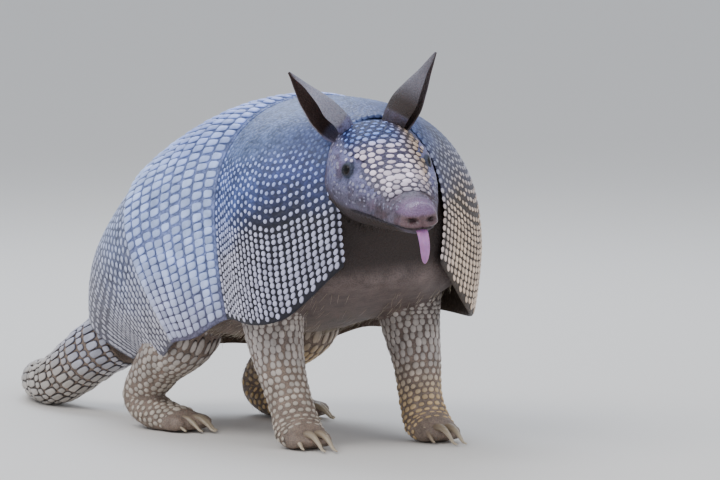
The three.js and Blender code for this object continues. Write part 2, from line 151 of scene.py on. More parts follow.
# %% Points on the crest and the hoops
steps = np.arange(int(BACK))
slope, heading = np.radians(SLOPE(steps)), np.radians(HEADING(steps))
fall = np.stack([np.cos(slope) * np.cos(heading), np.cos(slope) * np.sin(heading), np.sin(slope)], 1)
crest_points = CREST_START - np.vstack([np.zeros(3), np.cumsum(fall, axis=0)])


def crest_at(s):
    return np.stack([np.interp(s, np.arange(len(crest_points)), c) for c in crest_points.T], -1)


def hoop_axes(s):
    """Level ahead, left, up along the hoop, and ahead out of it, at each distance s."""
    turn, tilt = np.radians(HEADING(s)), np.radians(HOOP_TILT(s))
    none = np.zeros_like(turn)
    level = np.stack([np.cos(turn), np.sin(turn), none], -1)
    left = np.stack([-np.sin(turn), np.cos(turn), none], -1)
    upright = np.stack([none, none, none + 1], -1)
    up = level * -np.sin(tilt)[..., None] + upright * np.cos(tilt)[..., None]
    ahead = level * np.cos(tilt)[..., None] + upright * np.sin(tilt)[..., None]
    return level, left, up, ahead


def shell_point(s, v, lift=0.0):
    """Outer face of the shell. v is -1 at the right margin, 0 on the crest and 1 at the left margin."""
    s, v, lift = spread_out(s, v, lift)
    _, left, up, ahead = hoop_axes(s)
    share = np.abs(v)
    angle = np.minimum(share / CROWN_SHARE, 1) * math.pi / 2
    skirt = np.maximum((share - CROWN_SHARE) / (1 - CROWN_SHARE), 0)
    across = np.sin(angle) ** CROWN_FULLNESS - SKIRT_TUCK * skirt ** 2
    drop = (RISE(s) + lift) * (1 - np.maximum(np.cos(angle), 0) ** CROWN_FULLNESS)
    drop = drop + SKIRT(s) * skirt - lift
    reach = FRONT_REACH * np.maximum(1 - s / SHOULDER, 0) * np.minimum(drop / RISE(s), 1.2)
    outward = np.sign(v) * (HALF_WIDTH(s) + lift) * across
    return (crest_at(s) + left * outward[..., None] - up * drop[..., None]
            + ahead * np.maximum(reach, 0)[..., None])


def body_point(s, angle, inset, fill=1.0):
    """Flesh inside the shell, round from the crest at angle 0 to the belly at 180 degrees."""
    s, angle, fill = spread_out(s, angle, fill)
    _, left, up, ahead = hoop_axes(s)
    sine, cosine = np.abs(np.sin(angle)), np.cos(angle)
    upper = cosine >= 0
    across = (HALF_WIDTH(s) - inset) * sine ** np.where(upper, CROWN_FULLNESS, 0.55)
    rise = RISE(s) - inset
    below = BODY_DEPTH(s) - inset - rise
    height = np.where(upper, rise * np.abs(cosine) ** CROWN_FULLNESS,
                      -below * np.abs(cosine) ** 0.75)
    reach = FRONT_REACH * np.maximum(1 - s / SHOULDER, 0) * np.minimum(1 - height / RISE(s), 1.2)
    return (crest_at(s) + left * (np.sign(np.sin(angle)) * across * fill)[..., None]
            + up * (height * fill - inset - rise)[..., None]
            + ahead * np.maximum(reach, 0)[..., None])


print("the crest runs", [round(float(c), 1) for c in crest_at(0)], "to",
      [round(float(c), 1) for c in crest_at(BACK)])

# %% [markdown]
# ## The head's own frame
# The head is drawn straight, nose along +X, and then turned, tipped and rolled into its pose. Its
# sections are rounded boxes between a top line, a floor line and a half width.

# %% Stations of the head
OCCIPUT, NOSE_TIP, ROUNDNESS = -16.0, 89.0, 0.86
HEAD_TOP = through(
    [[-16, 9], [-4, 19], [12, 19], [28, 14.5], [44, 8], [60, 2], [74, -2], [84, -4], [89, -7]])
HEAD_FLOOR = through([[-16, -22], [-4, -27], [12, -28.5], [28, -28], [44, -25.5], [60, -23.5],
                      [78, -22], [85, -20.6], [89, -17.5]])
HEAD_HALF = through([[-16, 13], [-4, 21.5], [12, 26], [28, 25.6], [44, 21.4], [60, 16],
                     [74, 11.7], [84, 9.1], [89, 6.4]])
EYE_AT, EYE_RADIUS = np.array([28.0, 18.2, 2.2]), 4.3
MOUTH_CORNER, MOUTH_HEIGHT = 34.0, -16.2
SHIELD_FROM, SHIELD_TO, SHIELD_SPAN, SHIELD_FLARE = -9.0, 70.0, 53.0, 0.2
HEAD_PLACE = np.array([0.4, 0.6, 146.5])
HEAD_EULER = Euler((math.radians(5), math.radians(8.7), math.radians(-19)), "XYZ")
HEAD_TURN = np.array(HEAD_EULER.to_matrix())


def on_head(local):
    return np.asarray(local, float) @ HEAD_TURN.T + HEAD_PLACE


def along_shield(x):
    """0 at the rear rim of the head shield, 1 at its front rim."""
    return (x - SHIELD_FROM) / (SHIELD_TO - SHIELD_FROM)


def shield_angle(u, v):
    """The angle round the head at u along the shield and v across it, 0 and 1 being its margins."""
    return np.radians(SHIELD_SPAN * (1 + SHIELD_FLARE * u * u)) * (2 * v - 1)


def head_local(x, angle, out=0.0, fill=1.0):
    """A point of the head's own surface, round from the crown at angle 0."""
    x, angle, out, fill = spread_out(x, angle, out, fill)
    tall = (HEAD_TOP(x) - HEAD_FLOOR(x)) / 2 + out
    y = (HEAD_HALF(x) + out) * signed_power(np.sin(angle), ROUNDNESS) * fill
    z = (HEAD_TOP(x) + HEAD_FLOOR(x)) / 2 + tall * signed_power(np.cos(angle), ROUNDNESS) * fill
    return np.stack([x, y, z], -1)


print("the skull is", NOSE_TIP - OCCIPUT, "mm long and", float(HEAD_HALF(12)) * 2, "mm wide")

# %% [markdown]
# ## From the drawing to the part's frame
# The part's origin is under the middle of its box. One known point, the middle of the left eye, tells
# how far the drawing has to move.

# %% The move into the part's frame
low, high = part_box("eye_left")
eye_middle = (np.array(low) + np.array(high)) / 2
SHIFT = eye_middle - on_head(EYE_AT) * MM
SHIFT[2] = 0.0


def placed(points):
    """Drawing millimetres to the part's metres."""
    return np.asarray(points, float) * MM + SHIFT


def drawn(points):
    """The part's metres back to drawing millimetres."""
    return (np.asarray(points, float) - SHIFT) / MM


print("the drawing moves by", (SHIFT / MM).round(2), "mm")

# %% [markdown]
# ## The camera
# It stands off the right fore quarter, a little above the back, far away behind a long lens, so that
# the near ear and the far hip keep their true sizes.

# %% Camera
AZIMUTH, ELEVATION, DISTANCE = math.radians(55), math.radians(4.2), 3.0
toward = Vector((math.sin(AZIMUTH) * math.cos(ELEVATION),
                 -math.cos(AZIMUTH) * math.cos(ELEVATION), math.sin(ELEVATION)))
across = Vector((math.cos(AZIMUTH), math.sin(AZIMUTH), 0))
upward = toward.cross(across)
aim = Vector(placed([0, 0, 108])) - across * 0.005 - upward * 0.002
camera_data = bpy.data.cameras.new("camera")
camera_data.lens, camera_data.sensor_width, camera_data.clip_end = 300, 36, 50
camera = in_scene("camera", camera_data)
turn = Matrix((across, upward, toward)).transposed()
camera.matrix_world = Matrix.Translation(aim + toward * DISTANCE) @ turn.to_4x4()
bpy.context.scene.camera = camera
print("the camera stands", round((aim + toward * DISTANCE).length, 2), "m from the origin")

# %% [markdown]
# ## Shared effects for the finishes
# Horn, skin and bone share three effects. Pebbles are the small cells of scaly skin, creases are its
# fine folds, and a fade changes a colour from the back down to the belly with a broken edge. Each is a
# node group that puts out a colour or a height, so that every finish can use it with its own numbers.

# %% Node helpers
def plug(tree, value, socket):
    """Sets a socket to a constant, or links another node's socket to it."""
    if isinstance(value, bpy.types.NodeSocket):
        tree.links.new(value, socket)
    else:
        socket.default_value = value


def plug_all(tree, made, inputs):
    """Plugs the values into the node's sockets of those names."""
    for key, value in inputs.items():
        plug(tree, value, made.inputs[key.replace("_", " ")])


def add_node(tree, kind, **inputs):
    """A node of that kind: names in lower case are its settings, names with a capital its sockets."""
    made = tree.nodes.new("ShaderNode" + kind)
    for key in [key for key in inputs if key[0].islower()]:
        setattr(made, key, inputs.pop(key))
    plug_all(tree, made, inputs)
    return made


def new_group(name, inputs, outputs):
    """An empty node group with its sockets, and its input and output nodes."""
    group = bpy.data.node_groups.new(name, "ShaderNodeTree")
    for label, kind, value in inputs:
        socket = group.interface.new_socket(label, in_out="INPUT", socket_type="NodeSocket" + kind)
        socket.default_value = value
    for label, kind in outputs:
        group.interface.new_socket(label, in_out="OUTPUT", socket_type="NodeSocket" + kind)
    return group, group.nodes.new("NodeGroupInput"), group.nodes.new("NodeGroupOutput")


def use_group(tree, group, **inputs):
    made = tree.nodes.new("ShaderNodeGroup")
    made.node_tree = group
    plug_all(tree, made, inputs)
    return made


def object_place(tree):
    """Each point's place in the object's own coordinates."""
    return add_node(tree, "TexCoord").outputs["Object"]


def noise(tree, scale, detail):
    """Clouds from 0 to 1, so many to the metre."""
    made = add_node(tree, "TexNoise", Vector=object_place(tree), Scale=scale, Detail=detail)
    return made.outputs["Fac"]


def axes(tree, place):
    """The x, y and z of a place."""
    split = add_node(tree, "SeparateXYZ")
    tree.links.new(place, split.inputs[0])
    return split.outputs


def work_out(tree, operation, *values, **settings):
    """The result of a Math node on two or three values."""
    made = add_node(tree, "Math", operation=operation, **settings)
    for socket, value in zip(made.inputs, values):
        plug(tree, value, socket)
    return made.outputs[0]


def scaled(tree, color, amount):
    """A colour made brighter or darker."""
    made = add_node(tree, "VectorMath", operation="SCALE", Scale=amount)
    tree.links.new(color, made.inputs[0])
    return made.outputs["Vector"]


def mix_color(tree, factor, first, second, blend="MIX"):
    """Mixes two colours; each of the three is a constant or another node's socket."""
    made = add_node(tree, "Mix", data_type="RGBA", blend_type=blend)
    plug(tree, factor, made.inputs[0])
    for index, value in ((6, first), (7, second)):
        plug(tree, (*value, 1) if isinstance(value, tuple) else value, made.inputs[index])
    return made.outputs[2]


def multiplied(tree, first, second):
    return mix_color(tree, 1.0, first, second, "MULTIPLY")


def ramp(tree, value, low, high):
    """A smooth mask from 0 at low to 1 at high."""
    made = add_node(tree, "MapRange", interpolation_type="SMOOTHSTEP", Value=value, From_Min=low,
                    From_Max=high)
    return made.outputs["Result"]


print("node helpers are ready")

# %% Pebbles, creases and the fade
def make_pebbles():
    group, given, result = new_group(
        "pebbles", [("Scale", "Float", 500.0)], [("Height", "Float"), ("Shade", "Float")])
    cells = add_node(group, "TexVoronoi", feature="SMOOTH_F1", Vector=object_place(group),
                     Scale=given.outputs["Scale"], Smoothness=0.35).outputs["Distance"]
    # Shade is 1 in the middle of a pebble and 0 in the gaps; the finishes make the middles paler as
    # wear and the gaps darker as painted shade.
    plug_all(group, result, {"Height": ramp(group, cells, 0.75, 0.15),
                             "Shade": ramp(group, cells, 0.8, 0.3)})
    return group


def make_creases():
    group, given, result = new_group("creases", [("Scale", "Float", 300.0)], [("Height", "Float")])
    lines = add_node(group, "TexNoise", noise_type="RIDGED_MULTIFRACTAL", Vector=object_place(group),
                     Scale=given.outputs["Scale"], Detail=3, Roughness=0.6)
    group.links.new(lines.outputs["Fac"], result.inputs["Height"])
    return group


RAGGED, LEAN_FROM = 0.05, 0.15


def make_fade():
    """Upper colour over lower, mottled, with a ragged border that may lean up towards the front."""
    group, given, result = new_group(
        "fade", [("Upper", "Color", (1, 1, 1, 1)), ("Lower", "Color", (0, 0, 0, 1)),
                 ("Top", "Float", 0.15), ("Bottom", "Float", 0.11), ("Mottle", "Float", 0.15),
                 ("Lean", "Float", 0.0)],
        [("Color", "Color"), ("Mask", "Float")])
    take = given.outputs
    place = axes(group, object_place(group))
    ragged = work_out(group, "MULTIPLY_ADD", noise(group, 28, 3), RAGGED, place["Z"])
    height = work_out(group, "SUBTRACT", ragged, RAGGED / 2)
    forward = work_out(group, "SUBTRACT", place["X"], LEAN_FROM)
    leaning = work_out(group, "MULTIPLY", forward, take["Lean"])
    band = ramp(group, work_out(group, "SUBTRACT", height, leaning), take["Bottom"], take["Top"])
    spread = add_node(group, "MapRange", Value=noise(group, 160, 4), From_Min=0.3, From_Max=0.7,
                      To_Min=-1, To_Max=1)
    amount = work_out(group, "MULTIPLY_ADD", spread.outputs["Result"], take["Mottle"], 1.0)
    color = scaled(group, mix_color(group, band, take["Lower"], take["Upper"]), amount)
    plug_all(group, result, {"Color": color, "Mask": band})
    return group


PEBBLES, CREASES, FADE = make_pebbles(), make_creases(), make_fade()
print("shared effects:", PEBBLES.name, CREASES.name, FADE.name)

# %% [markdown]
# ## Finishes
# Armour is two finishes: the dark plate that shows between the scutes, and the scutes, whose worn tops
# are pale and whose rims take the plate's colour. Float attributes on the meshes tell a scute's top
# from its rim, give each scute its own tone, and mark places such as the muzzle or a plate's margin.

# %% Finish helpers
MUD_TINT, MUD = (1.24, 0.97, 0.56), (0.038, 0.027, 0.017)
MUD_FROM, MUD_TO = -0.03, 0.01
# Where painted shade falls on the front of the shoulder shield, next to the head.
FRONT_SHADE_FROM, FRONT_SHADE_TO = 0.132, 0.160


def blank_material(name, **settings):
    made = bpy.data.materials.new(name)
    made.use_nodes = True
    shader = made.node_tree.nodes["Principled BSDF"]
    plug_all(made.node_tree, shader, settings)
    return made, made.node_tree, shader


def painted(tree, shader, color):
    tree.links.new(color, shader.inputs["Base Color"])


def attribute(tree, name):
    return add_node(tree, "Attribute", attribute_name=name).outputs["Fac"]


def toned(tree, color, low, high):
    """The colour at the brightness of each copy's own tone, from low to high."""
    tone = add_node(tree, "MapRange", Value=attribute(tree, "tone"), To_Min=low, To_Max=high)
    return scaled(tree, color, tone.outputs["Result"])


def bumped(tree, shader, height, distance, **under):
    """Adds relief to a shader; Normal is the relief already under it."""
    bump = add_node(tree, "Bump", Height=height, Strength=1.0, Distance=distance, **under)
    tree.links.new(bump.outputs["Normal"], shader.inputs["Normal"])
    return bump.outputs["Normal"]


def down_the_side(tree, colors, levels, mottle):
    """Three colours from the back down: the levels say where one gives way to the next, how far the
    border leans, and where mud stains the left side. A fourth colour, where there is one, darkens the
    front next to the head as painted shade."""
    first = use_group(tree, FADE, Upper=(*colors[0], 1), Lower=(*colors[1], 1), Top=levels[0],
                      Bottom=levels[1], Mottle=mottle)
    second = use_group(tree, FADE, Upper=first.outputs["Color"], Lower=(*colors[2], 1), Top=levels[2],
                       Bottom=levels[3], Mottle=mottle, Lean=levels[4])
    place = axes(tree, object_place(tree))
    clean = use_group(tree, FADE, Top=levels[5], Bottom=levels[6])
    low = work_out(tree, "SUBTRACT", ramp(tree, place["Y"], MUD_FROM, MUD_TO), clean.outputs["Mask"],
                   use_clamp=True)
    color = second.outputs["Color"]
    # Painted shade: the fourth colour darkens the front of the shield, next to the head.
    for shade in colors[3:]:
        color = mix_color(tree, ramp(tree, place["X"], FRONT_SHADE_FROM, FRONT_SHADE_TO), color, shade, "MULTIPLY")
    return mix_color(tree, low, mix_color(tree, low, color, MUD_TINT, "MULTIPLY"), MUD, "ADD")


def plate_material(name, colors, levels, relief=0.0004):
    """The dark ground between scutes, pebbled with the tiny scutes that ring the big ones."""
    made, tree, shader = blank_material(name, Roughness=0.5, Specular_IOR_Level=0.4)
    pebbles = use_group(tree, PEBBLES, Scale=620.0)
    # Pebble middles paler as wear, the gaps between pebbles darker as painted shade.
    pebble_wear_and_shade = mix_color(tree, pebbles.outputs["Shade"], (0.70, 0.70, 0.70), (1.15, 1.15, 1.15))
    painted(tree, shader, multiplied(tree, down_the_side(tree, colors, levels, 0.2), pebble_wear_and_shade))
    bumped(tree, shader, pebbles.outputs["Height"], relief)
    return made


def scute_material(name, tops, rims, levels, roughness=0.42):
    """Pale worn tops, each with its own tone, over rims of the plate's colour."""
    made, tree, shader = blank_material(name, Roughness=roughness, Specular_IOR_Level=0.5)
    top = toned(tree, down_the_side(tree, tops, levels, 0.1), 0.80, 1.18)
    crown = ramp(tree, attribute(tree, "crown"), 0.3, 0.85)
    painted(tree, shader, mix_color(tree, crown, down_the_side(tree, rims, levels, 0.2), top))
    bumped(tree, shader, noise(tree, 1100, 3), 0.0002)
    return made


print("finish helpers are ready")

# %% Finishes of the shell, the tail and the legs
# The blues of the upper shoulder shield, the bands and the rump, on plates and scute tops alike, are a
# painted reflection of the blue sky on wet horn; the umber and cream low on the flanks are the horn's
# own colours.
SLATE, SLATE_TOP = (0.100, 0.145, 0.300), (0.112, 0.164, 0.340)
NAVY, UMBER = (0.066, 0.098, 0.256), (0.020, 0.019, 0.028)
SHIELD_LEVELS = (0.157, 0.136, 0.134, 0.108, 0.28, 0.172, 0.140)
# The fourth colour of the rims and of the tops is painted shade on the front of the shoulder shield,
# next to the head.
SHIELD_RIMS = (SLATE, NAVY, UMBER, (0.52, 0.52, 0.68))
SHIELD_TOPS = (SLATE_TOP, (0.43, 0.54, 1.0), (0.60, 0.59, 0.72), (0.88, 0.89, 0.98))
shield_ground = plate_material("shield_ground", SHIELD_RIMS, SHIELD_LEVELS, 0.00015)
shield_scutes = scute_material("shield_scutes", SHIELD_TOPS, SHIELD_RIMS, SHIELD_LEVELS)
BAND_LEVELS = (0.170, 0.125, 0.110, 0.050, 0.0, 0.110, 0.050)
BAND_RIMS = ((0.11, 0.155, 0.36), (0.190, 0.240, 0.480), (0.14, 0.13, 0.20))
BAND_TOPS = ((0.33, 0.43, 0.90), (0.49, 0.62, 1.0), (0.49, 0.51, 0.70))
band_ground = plate_material("band_ground", BAND_RIMS, BAND_LEVELS)
band_scutes = scute_material("band_scutes", BAND_TOPS, BAND_RIMS, BAND_LEVELS)
RUMP_RIMS = ((0.12, 0.155, 0.29), (0.13, 0.155, 0.27), (0.12, 0.115, 0.15))
RUMP_TOPS = ((0.36, 0.44, 0.72), (0.46, 0.53, 0.78), (0.48, 0.47, 0.54))
rump_ground = plate_material("rump_ground", RUMP_RIMS, BAND_LEVELS)
rump_scutes = scute_material("rump_scutes", RUMP_TOPS, RUMP_RIMS, BAND_LEVELS)
LOW_LEVELS = (0.100, 0.070, 0.050, 0.010, 0.0, 0.050, 0.010)
leg_scales = scute_material(
    "leg_scales", ((0.40, 0.38, 0.40), (0.42, 0.37, 0.34), (0.46, 0.40, 0.33)),
    ((0.12, 0.11, 0.13), (0.12, 0.10, 0.10), (0.12, 0.10, 0.08)), LOW_LEVELS, 0.5)
tail_scutes = scute_material(
    "tail_scutes", ((0.42, 0.46, 0.62), (0.42, 0.42, 0.50), (0.42, 0.38, 0.34)),
    ((0.11, 0.13, 0.22), (0.10, 0.10, 0.14), (0.08, 0.07, 0.07)), LOW_LEVELS, 0.45)
print("eight finishes of armour")

# %% [markdown]
# The head shield fades along the head and not down it: near black between small ticks at the crown,
# white on the forehead, and lilac on the muzzle. A Mapping node turned like the head gives the finish
# the head's own directions.

# %% Finishes of the head shield
def head_fade(tree, crown, forehead, muzzle, stained, margin, last=(0.060, 0.082)):
    """A colour along the head, from crown to muzzle, stained on its left and paler at the margin."""
    local = add_node(tree, "Mapping", vector_type="TEXTURE", Vector=object_place(tree),
                     Location=placed(HEAD_PLACE), Rotation=HEAD_EULER)
    place = axes(tree, local.outputs["Vector"])
    ahead = work_out(tree, "MULTIPLY_ADD", noise(tree, 90, 2), 0.012, place["X"])
    front = mix_color(tree, ramp(tree, ahead, 0.024, 0.040), crown, forehead)
    front = mix_color(tree, ramp(tree, place["Y"], 0.004, 0.016), front, stained)
    front = mix_color(tree, attribute(tree, "edge"), front, margin)
    return mix_color(tree, ramp(tree, ahead, *last), front, muzzle)


def head_material(name, colors, rims=None):
    made, tree, shader = blank_material(name, Roughness=0.55, Specular_IOR_Level=0.25)
    color = head_fade(tree, *colors)
    pebbles = use_group(tree, PEBBLES, Scale=700.0)
    if rims is None:
        # Pebble middles paler as wear, the gaps between pebbles darker as painted shade.
        pebble_wear_and_shade = mix_color(tree, pebbles.outputs["Shade"], (0.6, 0.6, 0.6), (1.2, 1.2, 1.2))
        color = multiplied(tree, color, pebble_wear_and_shade)
    else:
        crowned = ramp(tree, attribute(tree, "crown"), 0.2, 0.8)
        color = mix_color(tree, crowned, head_fade(tree, *rims), toned(tree, color, 0.66, 1.18))
    painted(tree, shader, color)
    bumped(tree, shader, pebbles.outputs["Height"], 0.00015 if rims else 0.0003)
    return made


HEAD_RIMS = ((0.006, 0.014, 0.085), (0.066, 0.055, 0.104), (0.130, 0.114, 0.150),
             (0.06, 0.042, 0.037), (0.150, 0.150, 0.250), (0.046, 0.064))
# The blue of the scutes on the crown is a painted reflection of the sky.
HEAD_TOPS = ((0.20, 0.31, 0.78), (0.93, 0.79, 0.91), (0.215, 0.185, 0.235),
             (0.44, 0.32, 0.23), (0.52, 0.48, 0.62))
head_ground = head_material("head_ground", HEAD_RIMS)
head_scutes_finish = head_material("head_scutes", HEAD_TOPS, HEAD_RIMS)
print("the head shield's colours run along its own axis")

# %% [markdown]
# ## The finish of the skin
# Bare skin is creased and pebbled, lilac grey on the face, pink on the muzzle and brown on the belly
# and legs; under the throat it is painted dark as shade. Attributes on the skin, worked out from the
# anatomy, say where each place is. Wet places, such as the nose, are smoother.

# %% The skin's finish
STAINS = ((110, 0.46, 0.66, (0.62, 0.50, 0.46)), (85, 0.52, 0.70, (1.22, 1.02, 1.04)),
          (420, 0.50, 0.66, (0.55, 0.53, 0.56)))
# Painted shade: the near black throat, the dark ear hollows and the black pits of nostrils, lids and
# mouth. Painted light: the pale back of the near ear and the light blue nape.
SKIN_PAINTS = {
    "nape": (0.09, 0.12, 0.25), "face": (0.174, 0.176, 0.330), "jaw": (0.100, 0.090, 0.136),
    "muzzle": (0.120, 0.100, 0.138), "throat": (0.030, 0.020, 0.018),
    "nose": (0.125, 0.073, 0.082), "nose_top": (0.178, 0.110, 0.202),
    "ear": (0.075, 0.064, 0.074), "lit_ear_back": (0.27, 0.265, 0.33),
    "ear_hollow_shadow": (0.060, 0.036, 0.032), "ear_root": (0.028, 0.018, 0.016),
    "lid": (0.048, 0.056, 0.090), "pit_shadow": (0.012, 0.008, 0.008)}


def stained_skin(tree, color):
    """Broad patches of brown mud and of bare pink skin over a colour, on the face only."""
    for scale, low, high, stain in STAINS:
        patches = ramp(tree, noise(tree, scale, 3), low, high)
        shown = work_out(tree, "MULTIPLY", patches, attribute(tree, "face"))
        color = mix_color(tree, shown, color, stain, "MULTIPLY")
    return color


def skin_material():
    made, tree, shader = blank_material("skin", Specular_IOR_Level=0.35, Subsurface_Weight=0.06,
                                        Subsurface_Scale=0.003)
    body = use_group(tree, FADE, Upper=(0.12, 0.09, 0.085, 1), Lower=(0.20, 0.15, 0.12, 1),
                     Top=0.075, Bottom=0.035, Mottle=0.25)
    color = body.outputs["Color"]
    for mark, paint in SKIN_PAINTS.items():
        color = mix_color(tree, attribute(tree, mark), color, paint)
        if mark == "muzzle":
            color = stained_skin(tree, color)
    pebbles = use_group(tree, PEBBLES, Scale=1300.0)
    creases = use_group(tree, CREASES, Scale=260.0)
    # Pebble middles paler as wear, the gaps between pebbles darker as painted shade.
    pebble_wear_and_shade = mix_color(tree, pebbles.outputs["Shade"], (0.80, 0.80, 0.82), (1.12, 1.12, 1.10))
    # The grooves of the creases are painted darker.
    crease_darkening = mix_color(tree, ramp(tree, creases.outputs["Height"], 0.25, 0.9), (1.1, 1.1, 1.1),
                     (0.7, 0.68, 0.68))
    painted(tree, shader, multiplied(tree, multiplied(tree, color, pebble_wear_and_shade), crease_darkening))
    gloss = add_node(tree, "MapRange", Value=attribute(tree, "nose"), To_Min=0.62, To_Max=0.32)
    tree.links.new(gloss.outputs["Result"], shader.inputs["Roughness"])
    first = bumped(tree, shader, pebbles.outputs["Height"], 0.00018)
    bumped(tree, shader, creases.outputs["Height"], -0.0003, Normal=first)
    return made


skin_finish = skin_material()
print("the skin carries", len(SKIN_PAINTS), "marks")

# %% [markdown]
# Eyes and tongue are wet, and horn is dry. A clear coat gives the wet shine over a rough colour, light
# that spreads below the surface makes the tongue soft, and stretched noise draws the grain of horn.

# %% Finishes of the eyes, tongue, claws and hairs
def eye_material():
    """Dark brown round a black pupil, under a wet clear coat."""
    made, tree, shader = blank_material("eye", Roughness=0.2, Specular_IOR_Level=0.15,
                                        Coat_Weight=0.12, Coat_Roughness=0.03)
    brown = mix_color(tree, noise(tree, 1500, 4), (0.010, 0.007, 0.006), (0.035, 0.022, 0.016))
    painted(tree, shader, mix_color(tree, attribute(tree, "pupil"), brown, (0.002, 0.002, 0.002)))
    return made


def tongue_material():
    made, tree, shader = blank_material("tongue", Roughness=0.3, Coat_Weight=0.4,
                                        Subsurface_Weight=0.25, Subsurface_Scale=0.004)
    fade = use_group(tree, FADE, Upper=(0.32, 0.13, 0.31, 1), Lower=(0.40, 0.17, 0.41, 1), Top=0.13,
                     Bottom=0.10, Mottle=0.2)
    painted(tree, shader, fade.outputs["Color"])
    pebbles = use_group(tree, PEBBLES, Scale=1600.0)
    bumped(tree, shader, pebbles.outputs["Height"], 0.0001)
    return made


def claw_material():
    """Horn: dark at the root, pale and streaked towards the tip."""
    made, tree, shader = blank_material("claw_horn", Roughness=0.35, Specular_IOR_Level=0.5)
    stretch = add_node(tree, "Mapping", Vector=object_place(tree), Scale=(60, 900, 700))
    streaks = add_node(tree, "TexNoise", Vector=stretch.outputs["Vector"], Scale=1, Detail=3)
    length = mix_color(tree, attribute(tree, "along"), (0.16, 0.11, 0.075), (0.52, 0.44, 0.33))
    shade = mix_color(tree, streaks.outputs["Fac"], (0.65, 0.62, 0.6), (1.2, 1.2, 1.15))
    painted(tree, shader, multiplied(tree, length, shade))
    bumped(tree, shader, streaks.outputs["Fac"], 0.0002)
    return made


def hair_material(name, root, tip):
    made, tree, shader = blank_material(name, Roughness=0.55)
    along = mix_color(tree, attribute(tree, "along"), root, tip)
    painted(tree, shader, toned(tree, along, 0.7, 1.25))
    return made


eye_finish, tongue_finish, claw_finish = eye_material(), tongue_material(), claw_material()
pale_hair = hair_material("pale_hair", (0.30, 0.24, 0.18), (0.62, 0.56, 0.46))
dark_hair = hair_material("dark_hair", (0.03, 0.02, 0.018), (0.10, 0.07, 0.055))
print("finishes for", eye_finish.name, tongue_finish.name, claw_finish.name, "and two kinds of hair")

# %% [markdown]
# ## Making closed forms
# Two moves make nearly all of the body. A round form is a flat grid rolled into a tube, welded along
# its seam and closed at both ends. A wall is a grid thickened by extruding it, then laid on a curved
# surface. Both start from a bmesh operator, and a function says where each grid point goes.

# %% Round forms and walls
def grid_places(bm):
    """The grid's own coordinates, each from 0 to 1, as an array."""
    return corners_of(bm.verts) + [0.5, 0.5, 0.0]


def move_to(bm, points):
    for vertex, point in zip(bm.verts, points):
        vertex.co = point


def facing_out(bm):
    """Turns the faces of a closed form outward, whichever way round it was laid."""
    bmesh.ops.recalc_face_normals(bm, faces=bm.faces)
    if bm.calc_volume(signed=True) < 0:
        bmesh.ops.reverse_faces(bm, faces=bm.faces)


def round_rims(bm, sharp, width):
    """Rounds off the edges whose faces meet at more than the sharp angle."""
    rims = [e for e in bm.edges if e.calc_face_angle(0) > sharp]
    bmesh.ops.bevel(bm, geom=rims, offset=width, segments=2, profile=0.5, affect="EDGES",
                    material=-1)


def round_form(along, around, section):
    """A closed tube; section(t, angle) gives drawing points."""
    bm = bmesh.new()
    bmesh.ops.create_grid(bm, x_segments=along, y_segments=around, size=0.5)
    t, turn, _ = grid_places(bm).T
    move_to(bm, placed(section(t, turn * 2 * math.pi)))
    bmesh.ops.remove_doubles(bm, verts=bm.verts, dist=0.00001)
    bmesh.ops.holes_fill(bm, edges=[e for e in bm.edges if e.is_boundary])
    facing_out(bm)
    return bm


def wall(nu, nv, place):
    """A closed wall; place(u, v, side) gives drawing points, side 1 outside and 0 inside."""
    bm = bmesh.new()
    bmesh.ops.create_grid(bm, x_segments=nu, y_segments=nv, size=0.5)
    raised = bmesh.ops.extrude_face_region(bm, geom=bm.faces[:], use_keep_orig=True)
    for item in raised["geom"]:
        if isinstance(item, bmesh.types.BMVert):
            item.co.z = 1.0
    u, v, side = grid_places(bm).T
    move_to(bm, placed(place(u, v, side)))
    facing_out(bm)
    return bm


def added(first, *others):
    """Joins bmeshes into the first."""
    for other in others:
        spare = bpy.data.meshes.new("spare")
        other.to_mesh(spare)
        other.free()
        first.from_mesh(spare)
        bpy.data.meshes.remove(spare)
    return first


def new_piece(name, bm, finish, nodes=()):
    """A finished object of the model: smooth, riding on the body, standing for its CAD nodes."""
    mesh = bpy.data.meshes.new(name)
    bm.to_mesh(mesh)
    bm.free()
    mesh.materials.append(finish)
    mesh.shade_smooth()
    made = in_scene(name, mesh)
    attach(made, "root")
    if nodes:
        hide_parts(*nodes)
    return made


def mark_points(mesh, name, values):
    """A float attribute of that name, one value for each point of the mesh."""
    layer = mesh.attributes.new(name, "FLOAT", "POINT")
    layer.data.foreach_set("value", np.asarray(values, np.float32).ravel())


def apply_modifiers(made):
    """Keeps what the modifiers make as the object's own mesh."""
    graph = bpy.context.evaluated_depsgraph_get()
    result = bpy.data.meshes.new_from_object(made.evaluated_get(graph))
    made.modifiers.clear()
    old, made.data = made.data, result
    bpy.data.meshes.remove(old)


print("a round form and a wall are all that the flesh and the plates need")

# %% [markdown]
# ## Legs and tail
# Short thick legs end in broad paws, and a long tail lies on the floor behind. Each is round, so it is
# drawn as one line through space with a few widths along it. The line keeps its speed even where its
# points crowd together, which gives the ankle and the wrist their bend.

